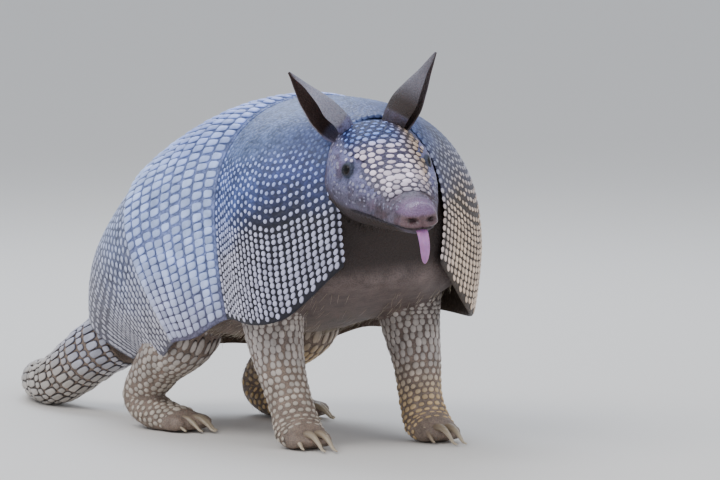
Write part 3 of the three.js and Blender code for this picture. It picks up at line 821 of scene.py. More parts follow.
# %% The line and the thickness of each leg
def spline(points):
    """A smooth curve through points in space; it takes 0 at the first and 1 at the last."""
    p = np.array(points, float)
    p = np.vstack([2 * p[0] - p[1], p, 2 * p[-1] - p[-2]])
    gaps = np.linalg.norm(np.diff(p, axis=0), axis=1) ** 0.5

    def curve(t):
        along = np.clip(np.asarray(t, float), 0, 1) * (len(p) - 3)
        i = np.clip(np.floor(along).astype(int), 0, len(p) - 4)
        w = (along - i)[..., None]
        a, b, c, d = (p[i + k] for k in range(4))
        g, h, k = (gaps[i + n][..., None] for n in range(3))
        start = ((b - a) / g - (c - a) / (g + h) + (c - b) / h) * h
        end = ((c - b) / h - (d - b) / (h + k) + (d - c) / k) * h
        bend = 3 * (c - b) - 2 * start - end
        return b + start * w + bend * w ** 2 + (2 * (b - c) + start + end) * w ** 3

    return curve


FORELEG = {
    "crest": 34, "spread": 37, "wide": [18, 16, 12.5, 11.5, 13.4, 11.6],
    "tall": [20, 17, 13, 11.5, 9, 6.6], "claws": [[-8.4, 12], [-3, 23], [3, 22], [8.2, 11]],
    "path": [[-8, 0, 90], [-11, 2, 64], [-2, 2, 38], [6, 0, 19.5], [15, 0, 7.3], [28, 0, 5.3]]}
HINDLEG = {
    "crest": 196, "spread": 44, "wide": [20, 18, 13.5, 10.5, 12.6, 11.8],
    "tall": [24, 19, 13.5, 10.5, 8.8, 6.4],
    "claws": [[-10, 9], [-5.2, 14], [0, 16], [5.2, 14], [10, 9]],
    "path": [[34, -6, 78], [54, 0, 54], [34, 1, 34], [20, 0, 15.5], [34, 0, 7.2], [58, 0, 5.1]]}
SIDES = (("left", 1), ("right", -1))
LEGS = [(f"{end}_{name}", leg, side)
        for end, leg in (("foreleg", FORELEG), ("hindleg", HINDLEG)) for name, side in SIDES]


def leg_axes(leg):
    level, left, _, _ = hoop_axes(np.array(float(leg["crest"])))
    return level, left


def leg_line(leg, side):
    level, left = leg_axes(leg)
    top = crest_at(float(leg["crest"])) * [1, 1, 0]
    return spline([top + [0, 0, height] + level * ahead + left * side * (leg["spread"] + outward)
                   for ahead, outward, height in leg["path"]])


def limb_point(leg, side, t, angle, out=0.0):
    """A point round the leg: angle 0 is its rear, and 90 degrees is the body's left."""
    t, angle, out = spread_out(t, angle, out)
    line, (_, left) = leg_line(leg, side), leg_axes(leg)
    run = line(np.minimum(t + 0.004, 1)) - line(np.maximum(t - 0.004, 0))
    rear = unit(np.cross(left, run))
    dome = np.minimum(1, 0.62 + (1 - t) * 5)
    stations = np.arange(6) / 5
    wide = through(list(zip(stations, leg["wide"])))(t) * dome + out
    tall = through(list(zip(stations, leg["tall"])))(t) * dome + out
    return (line(t) + left * (np.sin(angle) * wide)[..., None]
            + rear * (np.cos(angle) * tall)[..., None])


print("four legs, with", sum(len(leg["claws"]) for _, leg, _ in LEGS), "claws")

# %% The line and the thickness of the tail
TAIL_LENGTH, TAIL_RINGS, RING_LENGTH = 285.0, 13, 14.5
TAIL_RADIUS = through(
    [[0, 17.5], [40, 15.5], [90, 12], [150, 8.6], [210, 5.8], [260, 3.8], [285, 1.8]])
TAIL_HEADING = through([[0, 22], [40, 4], [100, -28], [180, -46], [285, -52]])


def tail_height(distance):
    return TAIL_RADIUS(distance) - 0.8 + 28 * (1 - smooth_step(-18, 72, distance))


lengths = np.arange(int(TAIL_LENGTH) + 1)
drop = np.diff(tail_height(lengths))
level_run = np.sqrt(1 - drop ** 2)
turns = np.radians(TAIL_HEADING(lengths[:-1]))
strides = np.stack([-np.cos(turns) * level_run, -np.sin(turns) * level_run, drop], 1)
tail_root = crest_at(BACK) - hoop_axes(BACK)[2] * (TAIL_RADIUS(0) + 1.5)
tail_root[2] = tail_height(0)
tail_line = tail_root + np.vstack([np.zeros(3), np.cumsum(strides, axis=0)])


def tail_point(distance, angle, out=0.0):
    """A point round the tail, angle 0 on top, never below the floor."""
    d, angle, out = spread_out(distance, angle, out)
    d = np.clip(d, 0, TAIL_LENGTH)
    i = np.minimum(np.floor(d).astype(int), int(TAIL_LENGTH) - 1)
    run = strides[i]
    side = unit(np.stack([run[..., 1], -run[..., 0], np.zeros_like(d)], -1))
    up = np.cross(side, run)
    radius = (TAIL_RADIUS(d) + out)[..., None]
    point = tail_line[i] + run * (d - i)[..., None] + side * np.sin(angle)[..., None] * radius
    point = point + up * np.cos(angle)[..., None] * radius
    point[..., 2] = np.maximum(point[..., 2], 0.0)
    return point


print("the tail ends at", [round(float(c), 1) for c in tail_line[-1]])

# %% [markdown]
# ## The skin
# Trunk, neck, head, legs, toes and tail start as separate round forms that reach into each other. A
# voxel remesh melts them into one closed skin with even faces, which no row of booleans does as
# cleanly. It lies a little inside the solids, because scutes and hairs stand on it.

# %% Round forms of the flesh
COAT, TRUNK_INSET = 0.5, SHELL + 1.8


def trunk_section(t, angle):
    fill = np.minimum(1, 0.86 + 0.09 * (t < 0.5) + np.minimum(t, 1 - t) * 2.4)
    return body_point(4 + t * (BACK - 12), angle, TRUNK_INSET + COAT, fill)


def neck_section(t, angle):
    nape = smooth_step(0.45, 0.85, np.cos(angle))
    body = body_point(7.0 + 0 * t, angle, TRUNK_INSET + COAT - 1.3 * nape, 0.95 + 0.05 * nape)
    reach = t[:, None] ** (1.7 + 0.6 * nape[:, None])
    return body + (on_head(head_local(8.0 + 0 * t, angle, -COAT, 0.9)) - body) * reach


def shield_share(x, angle):
    """1 under the head shield, 0 on the bare face."""
    span = shield_angle(np.clip(along_shield(x), 0, 1), 1.0)
    turn = np.abs((angle + math.pi) % (2 * math.pi) - math.pi)
    return (1 - smooth_step(span - 0.1, span, turn)) * (1 - smooth_step(SHIELD_TO - 4, SHIELD_TO, x))


def head_section(t, angle):
    eased = 0.5 - np.cos(math.pi * t) / 2
    x = OCCIPUT + (NOSE_TIP - OCCIPUT) * (0.35 * eased + 0.65 * t)
    fill = np.minimum(1, 0.8 + (1 - t) * 5) * np.minimum(1, 0.85 + t * 3)
    return on_head(head_local(x, angle, -0.3 - 1.3 * shield_share(x, angle), fill))


def tail_section(t, angle):
    return tail_point(t * (TAIL_LENGTH - 1), angle, -1.5 + 1.3 * smooth_step(0.62, 0.75, t))


def ball(segments, rings):
    """A round ball of radius 1, and the places of its corners."""
    bm = bmesh.new()
    bmesh.ops.create_uvsphere(bm, u_segments=segments, v_segments=rings, radius=1)
    return bm, corners_of(bm.verts)


def toe_root(leg, side, offset):
    """Where a toe meets its claw, and how far behind it the middle of the paw is."""
    level, left = leg_axes(leg)
    return leg_line(leg, side)(1.0) + left * side * offset, level, left, abs(offset) * 0.45


def toe(leg, side, offset):
    """A short toe from the middle of the paw to the root of its claw."""
    root, level, left, back = toe_root(leg, side, offset)
    bm, corners = ball(16, 10)
    reach = (corners[:, :1] * 9.5 + 11.5 - (13 + back)) * level
    points = root + reach + corners[:, 1:2] * left * 3.4 + corners[:, 2:] * [0, 0, 4.3]
    points[:, 2] = np.maximum(points[:, 2] - 0.4, 0.0)
    move_to(bm, placed(points))
    return bm


flesh = added(
    round_form(90, 56, trunk_section), round_form(12, 48, neck_section),
    round_form(90, 72, head_section), round_form(160, 28, tail_section),
    *(round_form(40, 32, lambda t, a, leg=leg, side=side: limb_point(leg, side, t, a, -COAT))
      for _, leg, side in LEGS),
    *(toe(leg, side, offset) for _, leg, side in LEGS for offset, _ in leg["claws"]))
for vertex in flesh.verts:
    vertex.co.z = max(vertex.co.z, 0.0)
print("loose flesh has", len(flesh.faces), "faces")

# %% One skin
FLESH_NODES = ["trunk", "neck", "head", "lower_jaw", "ear_left", "ear_right", "tail_base",
               "tail_middle", "tail_tip", *(name for name, _, _ in LEGS)]
skin = new_piece("skin", flesh, skin_finish, FLESH_NODES)
VOXEL = 0.0019
melt = skin.modifiers.new("melt", "REMESH")
melt.mode, melt.voxel_size = "VOXEL", VOXEL
apply_modifiers(skin)
print("the skin has", len(skin.data.polygons), "faces after melting")

# %% [markdown]
# The head needs finer faces than the trunk, and the eyes, nose and mouth finer still. Cutting only the
# edges there in two keeps the rest of the skin light. The corners are relaxed before the first cut,
# which rounds the places where neck and legs meet the trunk, and again after each cut.

# %% Finer faces on the head
def relax(bm, verts, times):
    for _ in range(times):
        bmesh.ops.smooth_vert(bm, verts=verts, factor=0.5, use_axis_x=True, use_axis_y=True,
                              use_axis_z=True)


def skin_places(bm):
    """Every corner in the head's own frame, in millimetres."""
    return (drawn(corners_of(bm.verts)) - HEAD_PLACE) @ HEAD_TURN


def skin_normals(bm):
    return np.array([v.normal[:] for v in bm.verts]) @ HEAD_TURN


def refine(bm, chosen, times):
    """Cuts in two the edges of the chosen places of the head, then relaxes the corners there."""
    wanted = chosen(skin_places(bm))
    edges = [e for e in bm.edges if wanted[e.verts[0].index] and wanted[e.verts[1].index]]
    bmesh.ops.subdivide_edges(bm, edges=edges, cuts=1, use_grid_fill=True)
    bm.verts.index_update()
    relax(bm, [v for v, near in zip(bm.verts, chosen(skin_places(bm))) if near], times)


def mirrored_left(local):
    """Both sides of the head laid on its left side."""
    x, y, z = local.T
    return np.stack([x, np.abs(y), z], 1)


def on_the_head(local):
    x, y, z = local.T
    return (x > -6) & (np.abs(y) < 30) & (z > -34) & (z < 24)


def fine_place(local):
    x, _, z = local.T
    near_eye = np.linalg.norm(mirrored_left(local) - EYE_AT, axis=1) < 9.5
    mouth = (x > 31) & (np.abs(z - MOUTH_HEIGHT) < 2.6)
    return near_eye | mouth | (x > 78)


skin_bm = bmesh.new()
skin_bm.from_mesh(skin.data)
relax(skin_bm, skin_bm.verts, 1)
refine(skin_bm, on_the_head, 3)
refine(skin_bm, fine_place, 2)
print("the skin has", len(skin_bm.faces), "faces after refining")

# %% [markdown]
# ## Lids, nostrils, mouth and folds
# Each feature is a small push along the skin's own direction. The eye is different: the skin round it
# is laid on the eyeball, with a slit left open, so that two thick lids wrap the ball as in life.

# %% The lids
EYE_OUT = np.array([0.40, 0.86, 0.28]) / np.linalg.norm([0.40, 0.86, 0.28])
EYE_LONG = np.cross(EYE_OUT, [0, 0, 1.0]) / np.linalg.norm(np.cross(EYE_OUT, [0, 0, 1.0]))
EYE_TALL = np.cross(EYE_LONG, EYE_OUT)
SLIT_LONG, SLIT_TALL = 31, 28
LID_REACH = through([[0, 3.3], [0.84, 3.3], [0.98, 4.5], [1.1, 4.85], [1.35, 4.95], [1.65, 4.95],
                     [1.9, 4.65], [2.2, 5.0]])


def open_slit(local):
    """How far each point is from the middle of the slit, 1 being the lid's margin, how far it is from
    the middle of the eye, and which way."""
    mirrored = mirrored_left(local) - EYE_AT
    reach = np.linalg.norm(mirrored, axis=1)
    ray = mirrored / np.maximum(reach, 1e-6)[:, None]
    along = np.degrees(np.arcsin(np.clip(ray @ EYE_LONG, -1, 1)))
    tall = np.degrees(np.arcsin(np.clip(ray @ EYE_TALL, -1, 1)))
    slit = np.hypot((along - 3) / SLIT_LONG, (tall + 3) / SLIT_TALL)
    return np.where((ray @ EYE_OUT > 0.1) & (reach < 11), slit, 9.0), reach, ray


def shape_lids(local):
    slit, reach, ray = open_slit(local)
    share = 1 - smooth_step(1.8, 2.5, slit)
    moved = reach + (LID_REACH(slit) - reach) * share
    side = np.where(local[:, 1] < 0, -1, 1)[:, None] * [0, 1, 0] + [1, 0, 1]
    return np.where(share[:, None] > 0, (EYE_AT + ray * moved[:, None]) * side, local)


slit_height = 2 * EYE_RADIUS * math.sin(math.radians(SLIT_TALL))
print("the slit between the lids is", round(slit_height, 1), "mm tall")

# %% Nostrils, mouth and folds
def spot(local, middle, radius):
    """A soft round mask, 1 at its middle, mirrored to both sides."""
    return np.exp(-(((mirrored_left(local) - middle) / radius) ** 2).sum(1))


def relief(local):
    """How far, in millimetres, each point of the face moves out along the skin."""
    x, y, z = local.T
    ahead = smooth_step(MOUTH_CORNER - 2, MOUTH_CORNER + 6, x)
    lip = MOUTH_HEIGHT + 0.8 * np.sin((x - 34) / 9.0) * (1 - smooth_step(70, 80, x))
    push = -1.5 * ahead * hump(z, lip, 0.75)
    push += 0.5 * ahead * hump(z - lip, 2.2, 1.3)
    push -= 1.2 * smooth_step(50, 84, x) * (1 - smooth_step(lip - 2.0, lip - 0.4, z))
    push -= 3.4 * spot(local, [89.0, 5.1, -11.8], [4.0, 2.6, 1.25])
    push -= 0.9 * hump(y, 0, 0.7) * smooth_step(86, 88, x) * (z < -9)
    push += 0.35 * hump(x, 86, 2.4) * smooth_step(-15, -12, z)
    push -= 0.30 * hump(x, 80.5, 2.2) * smooth_step(-14, -8, z)
    push += 0.9 * spot(local, [24, 21, 10], [9, 5, 3.0])
    push -= 0.7 * spot(local, [31, 21, -5.5], [8, 6, 1.4])
    push += 0.9 * spot(local, [16, 24, -10], [12, 8, 7])
    wrinkled = smooth_step(40, 50, x) * (1 - smooth_step(72, 80, x)) * smooth_step(3, 9, np.abs(y))
    push += 0.28 * wrinkled * np.sin(x * 1.9 + 0.5 * np.sin(z * 0.9)) * (z < 0)
    loose = (1 - smooth_step(16, 30, x)) * (1 - smooth_step(-18, -6, z))
    push += 0.7 * loose * np.sin(x * 0.95 + 0.8 * np.sin(z * 0.3 + y * 0.1))
    return push


local = skin_places(skin_bm)
normals = skin_normals(skin_bm)
on_face = smooth_step(-10, -4, local[:, 0]) * (np.abs(local[:, 1]) < 34) * (local[:, 2] > -38)
slit, _, _ = open_slit(local)
amount = relief(local) * on_face * smooth_step(1.6, 2.4, slit)
local = shape_lids(local + normals * amount[:, None])
move_to(skin_bm, placed(on_head(local)))
print("the face moves by up to", round(float(np.abs(amount).max()), 1), "mm")

# %% [markdown]
# ## Ears
# An ear is a thin leaf: nearly a tube at its root, open to the side, and pointed. It is a wall bent
# round a line, because its thin edge would be lost in a melt. A union then grows it onto the skin.

# %% The ears as curled leaves
EAR_BASE, EAR_TIP, EAR_LIFT = np.array([-3.6, 12.4, 12.4]), np.array([-8.6, 38.4, 47.8]), 1.3
EAR_OPENING, EAR_WALL = np.array([0.49, 0.83, -0.1]), 1.3
EAR_DEPTH = through(
    [[0, 5.4], [0.15, 6.8], [0.35, 7.3], [0.55, 5.2], [0.75, 2.6], [0.9, 1.3], [1, 0.3]])
EAR_WIDTH = through(
    [[0, 6], [0.15, 7.4], [0.35, 6.2], [0.6, 5.6], [0.8, 3.3], [0.93, 1.1], [1, 0.4]])
EAR_CURL = through([[0, 150], [0.3, 115], [0.6, 98], [1, 80]])


def ear_frame(side):
    """Root to tip, its direction, the way the hollow faces, and across, all as on the left."""
    axis = EAR_TIP + np.array([0, 0, side * EAR_LIFT]) - EAR_BASE
    run = axis / np.linalg.norm(axis)
    front = EAR_OPENING - run * (EAR_OPENING @ run)
    front /= np.linalg.norm(front)
    return axis, run, front, np.cross(run, front)


def ear_point(side, u, v, skin_side):
    """A point of the leaf: u from root to tip, v from edge to edge, skin_side 1 behind, 0 inside."""
    axis, _, front, over = ear_frame(side)
    curl = np.radians(EAR_CURL(u))
    turned = curl * (2 * v - 1)
    deep = 2 * EAR_DEPTH(u) / (1 - np.cos(curl))
    proud = (skin_side - 0.5) * EAR_WALL * (1 - 0.4 * u)
    forward = deep - EAR_DEPTH(u) * 1.14 - np.cos(turned) * (deep + proud)
    ripple = 0.4 * np.sin(u * 21) * smooth_step(0.72, 1, np.abs(2 * v - 1)) * (1 - u)
    point = (EAR_BASE + axis * np.asarray(u)[..., None] + front * forward[..., None]
             + over * (np.sin(turned) * (EAR_WIDTH(u) + proud) + ripple)[..., None])
    return on_head(point * [1, side, 1])


for name, side in SIDES:
    leaf = wall(44, 30, lambda u, v, s, side=side: ear_point(side, u, v, s))
    round_rims(leaf, 1.0, 0.00035)
    skin_mesh = bpy.data.meshes.new("with_ear_" + name)
    skin_bm.to_mesh(skin_mesh)
    skin.data = skin_mesh
    leaf_mesh = bpy.data.meshes.new("leaf_" + name)
    leaf.to_mesh(leaf_mesh)
    leaf_object = in_scene("leaf_" + name, leaf_mesh)
    join = skin.modifiers.new("join", "BOOLEAN")
    join.operation, join.solver, join.object = "UNION", "MANIFOLD", leaf_object
    apply_modifiers(skin)
    bpy.data.objects.remove(leaf_object)
    skin_bm.clear()
    skin_bm.from_mesh(skin.data)
    print("the skin has", len(skin_bm.faces), "faces with the", name, "ear, and",
          sum(1 for e in skin_bm.edges if not e.is_manifold), "open edges")

# %% [markdown]
# The face has many colours: lilac cheeks, a pink nose, dark ears. Some marks are painted light and
# shade instead: the dark throat, the dark ear hollows, the black nostrils, lid margins and mouth line,
# the pale back of the near ear and the light blue nape. Painting them would need the whole skin spread
# out flat. Soft masks worked out from the anatomy need no map, so every corner of the mesh carries one
# number for each mask, and the finish mixes its colours by them.

# %% Marks on the skin
def ear_marks(local, normals):
    """Whether each point is on an ear, how far up it, and whether it is in the hollow."""
    marked = np.zeros((3, len(local)))
    for _, side in SIDES:
        axis, run, front, _ = ear_frame(side)
        flip = np.array([1, side, 1])
        along = (local * flip - EAR_BASE) @ run / np.linalg.norm(axis)
        offset = local * flip - EAR_BASE - axis * along[:, None]
        mine = (local[:, 1] * side > 0) * (np.linalg.norm(offset, axis=1) < 14)
        inward = ((front * 1.5 - offset) * normals * flip).sum(1) > 0
        marked += mine * smooth_step(0.15, 0.22, along) * [np.ones(len(local)), along, inward]
    return marked


skin_bm.normal_update()
local = skin_places(skin_bm)
normals = skin_normals(skin_bm)
on_ear, along_ear, in_hollow = ear_marks(local, normals)
x, y, z = local.T
slit, _, _ = open_slit(local)
head_share = smooth_step(-14, 0, x) * (1 - smooth_step(34, 40, np.abs(y))) * smooth_step(-34, -28, z)
under = 1 - smooth_step(-19, -9, z + 0.10 * (x - 30))
marks = {
    "face": head_share * (1 - under),
    "jaw": head_share * (1 - under) * (1 - smooth_step(-10, 1, z)),
    "muzzle": head_share * smooth_step(52, 70, x) * smooth_step(-19, -14, z),
    # Painted shade: the throat, and the lower jaw under the mouth line, are near black.
    "throat": np.maximum(
        smooth_step(-14, -4, x) * (1 - smooth_step(62, 80, x)) * under * smooth_step(-60, -50, z),
        smooth_step(30, 37, x) * (1 - 0.6 * smooth_step(70, 84, x)) * head_share
        * (1 - smooth_step(MOUTH_HEIGHT - 1.2, MOUTH_HEIGHT + 0.2, z))),
    "nose": smooth_step(80.5, 83, x) * smooth_step(-17.5, -15.5, z),
    "nose_top": smooth_step(72, 82, x) * smooth_step(-10.5, -8, z),
    "ear": on_ear,
    # Painted light: the back of the near ear is pale as if lit, and the far ear's back is kept dark as
    # painted shade.
    "lit_ear_back": (on_ear - in_hollow) * (1 - 0.5 * smooth_step(0.6, 0.95, along_ear))
                * np.where(y < 0, 1.0, 0.25),
    # Painted light: the neck in the gap under the shield's front is painted light blue, so the shade
    # there is not black.
    "nape": (1 - smooth_step(-13, -7, x)) * smooth_step(-30, -10, z) * (np.abs(y) < 60),
    "ear_root": np.where(y < 0, 0.35, 1.1) * np.maximum(
        1.5 * spot(local, EAR_BASE + 0.12 * (EAR_TIP - EAR_BASE), [10, 10, 9]),
        on_ear * (1 - smooth_step(0.26, 0.62, along_ear))),
    # Painted shadow: the hollow of each ear is dark brown, deepest in the near ear.
    "ear_hollow_shadow": in_hollow * np.where(y < 0, 1.0, 0.35),
    "lid": (1 - smooth_step(1.7, 2.3, slit)) * (1 - on_ear),
    # Painted shade: the nostrils, the margin of the lid slit and the mouth line are near black.
    "pit_shadow": np.maximum.reduce([1.5 * spot(local, [88.5, 5.1, -11.8], [3.6, 2.4, 1.2]),
                              0.75 * (1 - smooth_step(1.05, 1.5, slit)),
                              0.85 * hump(z, MOUTH_HEIGHT, 0.7) * smooth_step(33, 38, x)
                              * head_share]),
}
skin_mesh = bpy.data.meshes.new("skin_marked")
skin_bm.to_mesh(skin_mesh)
skin.data = skin_mesh
skin_mesh.materials.append(skin_finish)
skin_mesh.shade_smooth()
for name in SKIN_PAINTS:
    mark_points(skin_mesh, name, np.clip(marks[name], 0, 1))
skin_tree = BVHTree.FromBMesh(skin_bm)
skin_bm.free()
print("marked:", {name: round(float(marks[name].mean()), 3) for name in SKIN_PAINTS})

# %% [markdown]
# ## The plates of the shell
# The shell is bone under horn. Each shield and band is a thin curved wall on the hoops, with a
# rounded rim. The walls lie a scute's height inside the solids' faces, because the scutes stand on
# them. Each band rises to its rear edge, where it covers the front of the next.

# %% Shields and bands
PLATE_REACH, PLATE_COLUMNS = 0.998, 120


def even(u):
    return 0 * u


def raised(u):
    return BAND_LIFT * u


def plate(name, start, end, rows, lift, finish, node):
    def place(u, v, side):
        s = start + (end - start) * u
        outer = lift(u) - SCUTE_HEIGHT
        return shell_point(s, (2 * v - 1) * PLATE_REACH, np.where(side > 0.5, outer, -SHELL))

    made = wall(rows, PLATE_COLUMNS, place)
    round_rims(made, 0.9, 0.0005)
    new_piece(name, made, finish, [node])


plate("scapular_plate", 0.9, SHOULDER - GAP, 36, even, shield_ground,
      "scapular_shield")
plate("pelvic_plate", BANDS_END + GAP, BACK, 56, even, rump_ground, "pelvic_shield")
for number, start in enumerate(BAND_STARTS):
    plate(f"band_plate_{number + 1}", start + GAP / 2, start + BAND_LENGTH - GAP / 2, 6, raised,
          band_ground, f"band_{number + 1}")
print("two shields and", BANDS, "bands")

# %% [markdown]
# The head has a shield too, one thin plate on the skull. It is a wall on the head's own surface. Its
# rim sinks into the skin beside the eyes, because there the real plate ends under the lids.

# %% The head shield's plate
def head_plate_place(u, v, side):
    x = SHIELD_FROM + (SHIELD_TO - SHIELD_FROM) * u
    angle = shield_angle(u, v)
    edge = np.minimum(1, 4 * np.minimum(np.minimum(v, 1 - v), 1 - u) + 0.3)
    edge -= 2.6 * (1 - smooth_step(2.2, 3.3, open_slit(head_local(x, angle))[0]))
    out = np.where(side > 0.5, -1.4 + 0.9 * edge, -1.6 + 0.9 * np.minimum(edge, 0))
    return on_head(head_local(x, angle, out))


def margin_share(points):
    """How near each point of the shield is to its sides, 1 at the rim and 0 further inward."""
    u = np.linspace(0, 1, 120)
    x = SHIELD_FROM + (SHIELD_TO - SHIELD_FROM) * u
    near = [np.linalg.norm(points[:, None] - on_head(head_local(x, shield_angle(u, v)))[None], axis=2)
            .min(1) * share for v, share in ((0.0, 1.0), (1.0, 2.5))]
    return 1 - smooth_step(2.0, 7.5, np.minimum(*near))


head_plate = new_piece("head_plate", wall(56, 48, head_plate_place), head_ground,
                       ["head_shield"])
mark_points(head_plate.data, "edge", margin_share(drawn(corners_of(head_plate.data.vertices))))
print("the head shield covers", SHIELD_TO - SHIELD_FROM, "mm of the head")

# %% [markdown]
# ## Scutes
# Every shield is paved with scutes: small domes of horn on bone, in rows that are offset like bricks.
# One dome is drawn up from a disc in three steps, each narrower than the last. Thousands of objects
# would be slow to work with, so copies of it are laid on the surface they belong to and joined into
# one mesh for each part of the armour. Each copy keeps a tiny patch of a map of that part, rolled out
# flat, at the place where it grows, so a bake gives it its own colour.

# %% One scute
def face_up(bm):
    """Turns a flat disc so that its face looks up."""
    bm.normal_update()
    if bm.faces[:][0].normal.z < 0:
        bmesh.ops.reverse_faces(bm, faces=bm.faces)


def top_face(bm):
    return max(bm.faces, key=lambda f: f.calc_center_median().z)


def template(bm):
    """The corners and the faces of a form, closed where it is open."""
    bmesh.ops.holes_fill(bm, edges=[e for e in bm.edges if e.is_boundary])
    bmesh.ops.recalc_face_normals(bm, faces=bm.faces)
    bm.verts.index_update()
    made = corners_of(bm.verts), [[v.index for v in f.verts] for f in bm.faces]
    bm.free()
    return made


def dome_template(sides, square=1.0, taper=0.0, steps=((0.84, 0.6), (0.71, 0.3), (0.53, 0.1))):
    """A low dome, one unit long, wide and high."""
    bm = bmesh.new()
    bmesh.ops.create_circle(bm, cap_ends=True, segments=sides, radius=0.5)
    for vertex in bm.verts:
        x, y = (float(signed_power(c * 2, square)) / 2 for c in vertex.co.xy)
        vertex.co.xy = x, y * (1 + taper * x)
    face_up(bm)
    for share, rise in steps:
        top = top_face(bm)
        bmesh.ops.inset_individual(bm, faces=[top], thickness=0.0, depth=rise)
        bmesh.ops.scale(bm, vec=(share, share, 1), verts=top.verts[:])
    return template(bm)


ROUND_SCUTE = dome_template(9, 0.95)
BLOCK_SCUTE = dome_template(12, 0.55, 0.22, ((0.86, 0.6), (0.82, 0.3), (0.70, 0.1)))
print("a round scute has", len(ROUND_SCUTE[1]), "faces, a band's block has", len(BLOCK_SCUTE[1]))

# %% Many copies joined in one mesh
PATCH = 0.003


def on_map(along, around):
    """Places on the map of a part that is rolled out flat, from 0 to 1 each way."""
    return np.stack(np.broadcast_arrays(along, around), 1)


def shell_map(s, around):
    return on_map(0.02 + 0.96 * s / BACK, around)


def head_map(x, around):
    return on_map(0.05 + 0.9 * (x - OCCIPUT) / (NOSE_TIP - OCCIPUT), around)


def leg_map(number, t, around):
    """The four legs lie one behind the other on their map."""
    return on_map(0.02 + 0.25 * number + 0.21 * t, around)


def spaced(count, first=0.5):
    """Even steps from -1 to 1; the first place is that share of a step in."""
    return 2 * (np.arange(count) + first) / count - 1


def brick(row):
    """Where a row begins: every second row is half a step on, like bricks."""
    return 0.25 + 0.5 * (row % 2)


def gathered(name, form, points, roots, finish, slot):
    """One piece of the copies of all rows, each with a tone of its own."""
    points, roots = np.concatenate(points), np.concatenate(roots)
    joined_copies(name, form, points, roots, rng.random(len(roots)), finish, slot)


def joined_copies(name, form, points, roots, tone, finish, slot, **marks):
    """One piece of many copies of a form at points, an array of copy by corner by place. Each copy has
    its root on the map and its tone; marks give more attributes, a value for every corner."""
    shape, faces = form
    count, corners = points.shape[:2]
    mesh = bpy.data.meshes.new("copies")
    index = [[corner + copy * corners for corner in face] for copy in range(count) for face in faces]
    mesh.from_pydata(placed(points).reshape(-1, 3).tolist(), [], index)
    marks = {"crown": np.tile(shape[:, 2], count), "tone": np.repeat(tone, corners), **marks}
    for label, values in marks.items():
        mark_points(mesh, label, values)
    corner_of = np.zeros(len(mesh.loops), int)
    mesh.loops.foreach_get("vertex_index", corner_of)
    patch = (roots[:, None, :] + shape[None, :, :2] * PATCH).reshape(-1, 2)
    mesh.uv_layers.new(name="OFBake").data.foreach_set("uv", patch[corner_of].ravel())
    bm = bmesh.new()
    bm.from_mesh(mesh)
    bpy.data.meshes.remove(mesh)
    bmesh.ops.recalc_face_normals(bm, faces=bm.faces)
    new_piece(name, bm, finish)
    triangles = sum(len(face) - 2 for face in faces) * count
    print(name, "has", count, "copies and", triangles, "triangles")


# %% [markdown]
# On the shoulder and the rump the scutes stand in rows across the back. An array modifier could stamp
# them, but the shell narrows and bends, so each row counts how many scutes fit into it.

# %% Rows of scutes on the shell
ROW_REACH, SEAT = 0.985, -1.25


def shell_metric(s, v):
    """Millimetres of shell for one unit of s and of v."""
    along = np.linalg.norm(shell_point(s + 0.5, v) - shell_point(s - 0.5, v), axis=-1)
    around = np.linalg.norm(shell_point(s, v + 0.01) - shell_point(s, v - 0.01), axis=-1) / 0.02
    return along, around


def row_across(s, spacing, first=0.5):
    """The places v of one row across the shell, as near to the spacing as fits."""
    count = int(round(line_length(shell_point(s, np.linspace(-1, 1, 81))) / spacing))
    return ROW_REACH * spaced(count, first)


def shield_rows(start, end, pitch, spacing):
    """Offset rows of scutes on a shield, evenly spaced down its flanks: s, v and length of the row."""
    fine = np.linspace(start, end, 400)
    along = shell_metric(fine, 0.72 + 0 * fine)[0] + shell_metric(fine, -0.72 + 0 * fine)[0]
    run = np.concatenate([[0], np.cumsum(along[1:] * np.diff(fine) / 2)])
    rows = round(run[-1] / pitch)
    edges = np.interp(np.arange(rows + 1) / rows * run[-1], run, fine)
    places = []
    for row in range(rows):
        s = edges[row:row + 2].mean()
        v = row_across(s, spacing, brick(row))
        places.append(np.stack(np.broadcast_arrays(s, v, np.ptp(edges[row:row + 2])), 1))
    return np.concatenate(places)


def turned(form, angles):
    """The form's flat outline turned by each angle."""
    x, y = form[0][:, 0], form[0][:, 1]
    c, s = np.cos(angles)[:, None], np.sin(angles)[:, None]
    return x * c - y * s, x * s + y * c


def shield_scutes_on(name, start, end, pitch, spacing, cover, finish):
    """Scutes that cover a share of their place on the crest and a greater one low on the flank."""
    s, v, row = shield_rows(start, end, pitch, spacing).T
    along, around = shell_metric(s, v)
    share = cover[0] + (cover[1] - cover[0]) * smooth_step(0.45, 0.85, np.abs(v))
    length = share * np.clip(row * along, 0.5 * spacing, 1.15 * spacing)
    s = s + rng.normal(0, 0.035, len(s)) * row
    v = v + rng.normal(0, 0.0012, len(v))
    low = smooth_step(0.24, 0.58, np.abs(v))
    wide = share * spacing * rng.normal(1, 0.06, len(s))
    x, y = turned(ROUND_SCUTE, rng.normal(0, 0.25, len(s)))
    height = 0.10 + 0.75 * low
    points = shell_point(s[:, None] + x * (length * rng.normal(0.97, 0.04, len(s)) / along)[:, None],
                         v[:, None] + y * (wide / around)[:, None],
                         SEAT + ROUND_SCUTE[0][:, 2] * (0.25 + height[:, None]))
    joined_copies(name, ROUND_SCUTE, points, shell_map(s, 0.5 + 0.48 * v), rng.random(len(s)), finish,
                  "shell_plate")


